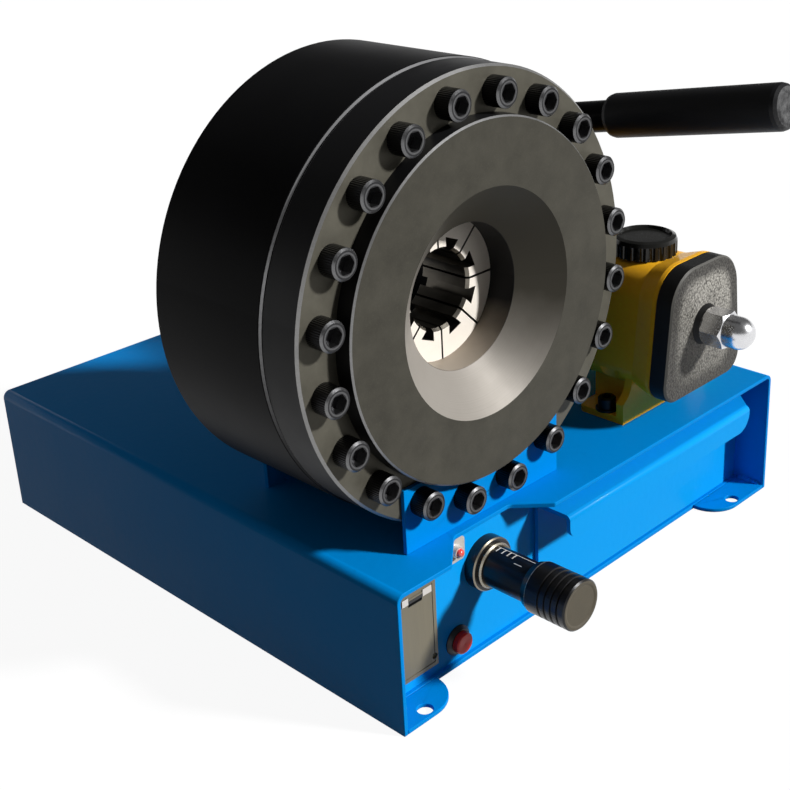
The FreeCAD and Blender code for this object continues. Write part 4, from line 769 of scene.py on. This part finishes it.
def smooth_data(name, mesh):
    """Smoothly shaded mesh data from what was modelled."""
    data = bpy.data.meshes.new(name)
    mesh.to_mesh(data)
    mesh.free()
    data.polygons.foreach_set("use_smooth", [True] * len(data.polygons))
    return data


def new_object(name, data):
    """An object in the scene's own collection."""
    obj = bpy.data.objects.new(name, data)
    bpy.context.scene.collection.objects.link(obj)
    return obj


def piece(name, mesh, material, body, slot, *replaced):
    """A visible piece that rides on one body and may stand in for CAD nodes."""
    obj = new_object(name, mesh)
    mesh.materials.append(material)
    if replaced:
        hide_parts(*replaced)
    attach(obj, body)
    return obj


class CRIMPER_OT_base(bpy.types.Operator):
    """Finish the sheet steel base, its brackets and the die drawer"""
    bl_idname = "crimper.base"
    bl_label = "Base"

    def execute(self, context):
        look = colours()
        dress(gloss_paint("base_paint", look.paint[:]), "base_shell", "rear_panel", "bottom_plate",
              "foot_ears", "front_bracket", "rear_bracket")
        # Painted sheen: the front panel and the drawer get the paler copy of the base paint
        dress(gloss_paint("front_paint_painted_sheen", look.front[:]), "front_panel", "drawer_front")
        dress(metal("tray_steel", darker(look.steel[:], 0.8), 0.4, 0.004), "drawer_tray",
              "drawer_divider", "drawer_rails")
        round_edges(0.0006, "base_shell", "drawer_front", "front_bracket", "foot_ears")
        return {"FINISHED"}


class CRIMPER_OT_head(bpy.types.Operator):
    """Finish the cylinder, its cover and their cap screws"""
    bl_idname = "crimper.head"
    bl_label = "Crimping head"

    def execute(self, context):
        dress(body_finish(), "head_body")
        dress(cover_finish(), "head_cover")
        dress(screw_finish(), "head_bolts")
        return {"FINISHED"}


class CRIMPER_OT_dies(bpy.types.Operator):
    """Finish the dies, the piston and the other ground steel"""
    bl_idname = "crimper.dies"
    bl_label = "Dies and piston"

    def execute(self, context):
        dress(die_finish(), *die_names())
        dress(metal("ground_steel", colours().steel[:], 0.25), "piston", "follower_arm",
              "micrometer_spindle", "tie_rod", "pump_plunger", "plunger_pin", "pivot_pin")
        return {"FINISHED"}


def die_names():
    return ["die_%d" % k for k in range(1, die_count + 1)]


def copied_body(verts, faces):
    """A mesh of its own from some vertices and faces of another."""
    part = bmesh.new()
    copies = {vert: part.verts.new(vert.co) for vert in verts}
    for face in faces:
        part.faces.new([copies[vert] for vert in face.verts])
    data = bpy.data.meshes.new("body")
    part.to_mesh(data)
    part.free()
    return data


def bodies_of(mesh):
    """One mesh for each connected body of a mesh."""
    whole = bmesh.new()
    whole.from_mesh(mesh)
    bmesh.ops.remove_doubles(whole, verts=whole.verts, dist=0.000001)
    seen = set()
    bodies = []
    for first in whole.verts:
        if first in seen:
            continue
        found = {first: None}
        waiting = [first]
        for vert in waiting:
            for edge in vert.link_edges:
                other = edge.other_vert(vert)
                if other not in found:
                    found[other] = None
                    waiting.append(other)
        seen.update(found)
        bodies.append(copied_body(found, [face for face in whole.faces if face.verts[0] in found]))
    whole.free()
    return bodies


class CRIMPER_OT_springs(bpy.types.Operator):
    """Seat each coil spring in one of its dies and give the button's spring a mesh of its own"""
    bl_idname = "crimper.springs"
    bl_label = "Springs"

    def execute(self, context):
        wire = metal("spring_wire", darker(colours().steel[:], 0.7), 0.3)
        self.seat_die_springs(wire)
        self.shorten_button_spring(wire)
        return {"FINISHED"}

    def seat_die_springs(self, wire):
        """Each spring lies across a gap, shortened to what is left of it when the dies close."""
        spokes = {}
        for name in die_names():
            low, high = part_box(name)
            spokes[name] = self.from_axis((low + high) / 2)
        for data in bodies_of(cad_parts["die_springs"].data):
            middle = sum((vert.co for vert in data.vertices), Vector()) / len(data.vertices)
            spoke = self.from_axis(middle)
            across = spoke.cross(Vector((0.0, 1.0, 0.0)))
            die = max(spokes, key=lambda name: spokes[name].dot(spoke + across * 0.5))
            reach = [vert.co.dot(across) for vert in data.vertices]
            seat = Matrix.Translation(across * max(reach))
            lost = 2 * die_close_travel * math.sin(math.pi / die_count)
            share = 1.0 - lost / (max(reach) - min(reach))
            data.transform(seat @ Matrix.Scale(share, 4, across) @ seat.inverted())
            piece(die + "_spring", data, wire, die, "spring_steel", "die_springs")

    def from_axis(self, place):
        """Direction from the head's axis to a place."""
        return Vector((place.x - head_x, 0.0, place.z - head_z)).normalized()

    def shorten_button_spring(self, wire):
        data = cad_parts["button_spring"].data.copy()
        data.materials.clear()
        spring = piece("pressed_spring", data, wire, "base", "spring_steel", "button_spring")
        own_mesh(spring)


class CRIMPER_OT_micrometer(bpy.types.Operator):
    """Finish the micrometer stop with its scale"""
    bl_idname = "crimper.micrometer"
    bl_label = "Micrometer"

    def execute(self, context):
        dress(barrel_finish(), "micrometer_barrel")
        dress(thimble_finish(), "micrometer_thimble")
        dress(flange_finish(), "micrometer_flange")
        dress(ring_finish(), "micrometer_ring")
        return {"FINISHED"}


class CRIMPER_OT_controls(bpy.types.Operator):
    """Finish the lamp, the push button and the battery box"""
    bl_idname = "crimper.controls"
    bl_label = "Lamp, button and battery box"

    def execute(self, context):
        look = colours()
        dress(bezel_finish(), "lamp_bezel")
        dress(lens_finish(), "lamp_lens")
        dress(moulded("red_cap", look.red[:], 0.35, 0.0006, 0.00002, 1.05), "button_cap")
        dress(moulded("black_plastic", look.plastic[:], 0.4), "button_bezel", "release_knob")
        dress(battery_finish(), "battery_box", "battery_drawer")
        dress(metal("battery_can", (0.1, 0.1, 0.11)), "battery")
        return {"FINISHED"}


class CRIMPER_OT_pump(bpy.types.Operator):
    """Finish the hand pump, its lever and the pressure line"""
    bl_idname = "crimper.pump"
    bl_label = "Hand pump"

    def execute(self, context):
        look = colours()
        dress(cast_finish("tank_paint", look.tank[:], 0.3, 0.00005, 0.12), "pump_tank")
        dress(cast_finish("block", (0.02, 0.02, 0.02), 0.45, 0.0001), "pump_block")
        dress(end_cap_finish(), "pump_end_cap")
        dress(chrome_finish(), "acorn_nut")
        dress(moulded("filler", darker(look.plastic[:], 0.8), 0.14, 0.003, 0.0001), "filler_cap")
        dress(moulded("seal", look.rubber[:], 0.6), "filler_seal", "tank_gaskets", "piston_seals")
        dress(grip_finish(), "lever_grip")
        dress(gloss_paint("lever_black", (0.005, 0.005, 0.006)), "lever_yoke", "lever_tube")
        dress(metal("zinc", darker(look.steel[:], 0.95), 0.3), "panel_nuts", "pressure_pipe",
              "pipe_fittings", "plunger_gland")
        dress(metal("black_screw", (0.03, 0.03, 0.03)), "pump_bolts")
        return {"FINISHED"}


class CRIMPER_OT_welds(bpy.types.Operator):
    """Weld beads in the corners between the foot ears and the side walls"""
    bl_idname = "crimper.welds"
    bl_label = "Welds"

    def execute(self, context):
        corner_gap = 0.004
        plate_gap = 0.002
        mesh = bmesh.new()
        for x in (shell_low.x + sheet, shell_high.x - sheet):
            for start, end in ((shell_low.y + corner_gap, plate_low.y - plate_gap),
                               (plate_high.y + plate_gap, shell_high.y - corner_gap)):
                self.bead(mesh, Vector((x, start, sheet)), Vector((x, end, sheet)))
        piece("foot_welds", smooth_data("foot_welds", mesh), bpy.data.materials["base_paint"],
              "base", "blue_paint")
        return {"FINISHED"}

    def bead(self, mesh, start, end):
        """A row of overlapping ripples of slightly uneven size."""
        size = sizes()
        unevenness = 0.12
        turn_per_ripple = 2.4
        along = end - start
        count = max(2, round(along.length / size.weld_pitch))
        for k in range(count):
            place = Matrix.Translation(start + along * (k + 0.5) / count)
            radius = size.weld_radius * (1.0 + unevenness * math.sin(k * turn_per_ripple))
            bmesh.ops.create_icosphere(mesh, subdivisions=2, radius=1.0,
                                       matrix=place @ Matrix.Scale(radius, 4))


class CRIMPER_OT_stage(bpy.types.Operator):
    """Floor, studio light and the camera of the photograph"""
    bl_idname = "crimper.stage"
    bl_label = "Stage"

    def execute(self, context):
        self.add_camera()
        self.add_floor()
        self.add_lamp()
        self.light_room()
        bpy.context.scene.view_settings.view_transform = "Standard"
        return {"FINISHED"}

    def add_camera(self):
        data = bpy.data.cameras.new("camera")
        data.sensor_width = sensor
        data.lens = focal_pixels / picture_width * sensor
        data.shift_x = shift_right_pixels / picture_width
        data.shift_y = shift_up_pixels / picture_width
        data.clip_start = 0.01
        data.clip_end = 50.0
        camera = new_object("camera", data)
        right = camera_forward.cross(camera_up).normalized()
        up = right.cross(camera_forward).normalized()
        turn = Matrix((right, up, -camera_forward.normalized())).transposed()
        camera.matrix_world = Matrix.Translation(camera_place) @ turn.to_4x4()
        bpy.context.scene.camera = camera

    def floor_material(self):
        """Pale, even floor that the camera, mirrors and glass see glowing."""
        look = stage_look()
        finish = Finish("floor", look.floor, roughness=0.9, specular=0.0)
        path = finish.node("ShaderNodeLightPath").outputs
        seen = Value(finish, path["Is Camera Ray"])
        for name in ("Is Glossy Ray", "Is Transmission Ray"):
            seen = seen.maths("MAXIMUM", path[name])
        finish.put("Emission Color", seen * look.glow)
        finish.put("Emission Strength", 1.0)
        return finish.material

    def add_floor(self):
        """A round floor whose edge curves up into a low wall."""
        flat_radius = 4.5
        curve_radius = 1.5
        curve_steps = 8
        sides = 96
        mesh = bmesh.new()
        centre = mesh.verts.new((0.0, 0.0, 0.0))
        rings = []
        for step in range(curve_steps + 1):
            rise = math.pi / 2 * step / curve_steps
            radius = flat_radius + curve_radius * math.sin(rise)
            height = curve_radius * (1.0 - math.cos(rise))
            turns = [2 * math.pi * k / sides for k in range(sides)]
            rings.append([mesh.verts.new((radius * math.cos(turn), radius * math.sin(turn), height))
                          for turn in turns])
        for k in range(sides):
            after = (k + 1) % sides
            mesh.faces.new((centre, rings[0][k], rings[0][after]))
            for inner, outer in zip(rings, rings[1:]):
                mesh.faces.new((inner[k], outer[k], outer[after], inner[after]))
        data = smooth_data("floor", mesh)
        data.materials.append(self.floor_material())
        new_object("floor", data)

    def add_lamp(self):
        """One soft lamp from the front right, above."""
        look = stage_look()
        distance = 3.0
        data = bpy.data.lights.new("key_light", "SUN")
        data.energy = look.key
        data.angle = look.softness
        lamp = new_object("key_light", data)
        lamp.location = light_from * distance
        lamp.rotation_mode = "QUATERNION"
        lamp.rotation_quaternion = (-light_from).to_track_quat("-Z", "Y")

    def light_room(self):
        """Even light of the room."""
        world = bpy.data.worlds.new("room")
        bpy.context.scene.world = world
        world.use_nodes = True
        light = world.node_tree.nodes["Background"]
        light.inputs["Color"].default_value = (1.0, 1.0, 1.0, 1.0)
        light.inputs["Strength"].default_value = stage_look().sky


steps = (CRIMPER_OT_stage, CRIMPER_OT_base, CRIMPER_OT_head, CRIMPER_OT_dies,
         CRIMPER_OT_springs, CRIMPER_OT_micrometer, CRIMPER_OT_controls, CRIMPER_OT_pump,
         CRIMPER_OT_welds)


class CRIMPER_PT_panel(bpy.types.Panel):
    """Steps that dress the hose crimping machine"""
    bl_idname = "CRIMPER_PT_panel"
    bl_label = "Hose crimping machine"
    bl_space_type = "VIEW_3D"
    bl_region_type = "UI"
    bl_category = "Crimper"

    def draw(self, context):
        for step in steps:
            self.layout.operator(step.bl_idname)
        for group in ("crimper_colours", "crimper_sizes", "crimper_stage"):
            values = getattr(context.scene, group)
            box = self.layout.box()
            for name in values.bl_rna.properties.keys():
                if name not in ("rna_type", "name"):
                    box.prop(values, name)


groups = (CrimperColours, CrimperSizes, StageLook)


def register():
    for kind in (*groups, *steps, CRIMPER_PT_panel):
        bpy.utils.register_class(kind)
    bpy.types.Scene.crimper_colours = bpy.props.PointerProperty(type=CrimperColours)
    bpy.types.Scene.crimper_sizes = bpy.props.PointerProperty(type=CrimperSizes)
    bpy.types.Scene.crimper_stage = bpy.props.PointerProperty(type=StageLook)


def unregister():
    del bpy.types.Scene.crimper_stage
    del bpy.types.Scene.crimper_sizes
    del bpy.types.Scene.crimper_colours
    for kind in reversed((*groups, *steps, CRIMPER_PT_panel)):
        bpy.utils.unregister_class(kind)


def main():
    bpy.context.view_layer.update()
    register()
    for step in steps:
        group, name = step.bl_idname.split(".")
        getattr(getattr(bpy.ops, group), name)()


if __name__ == "__main__":
    main()
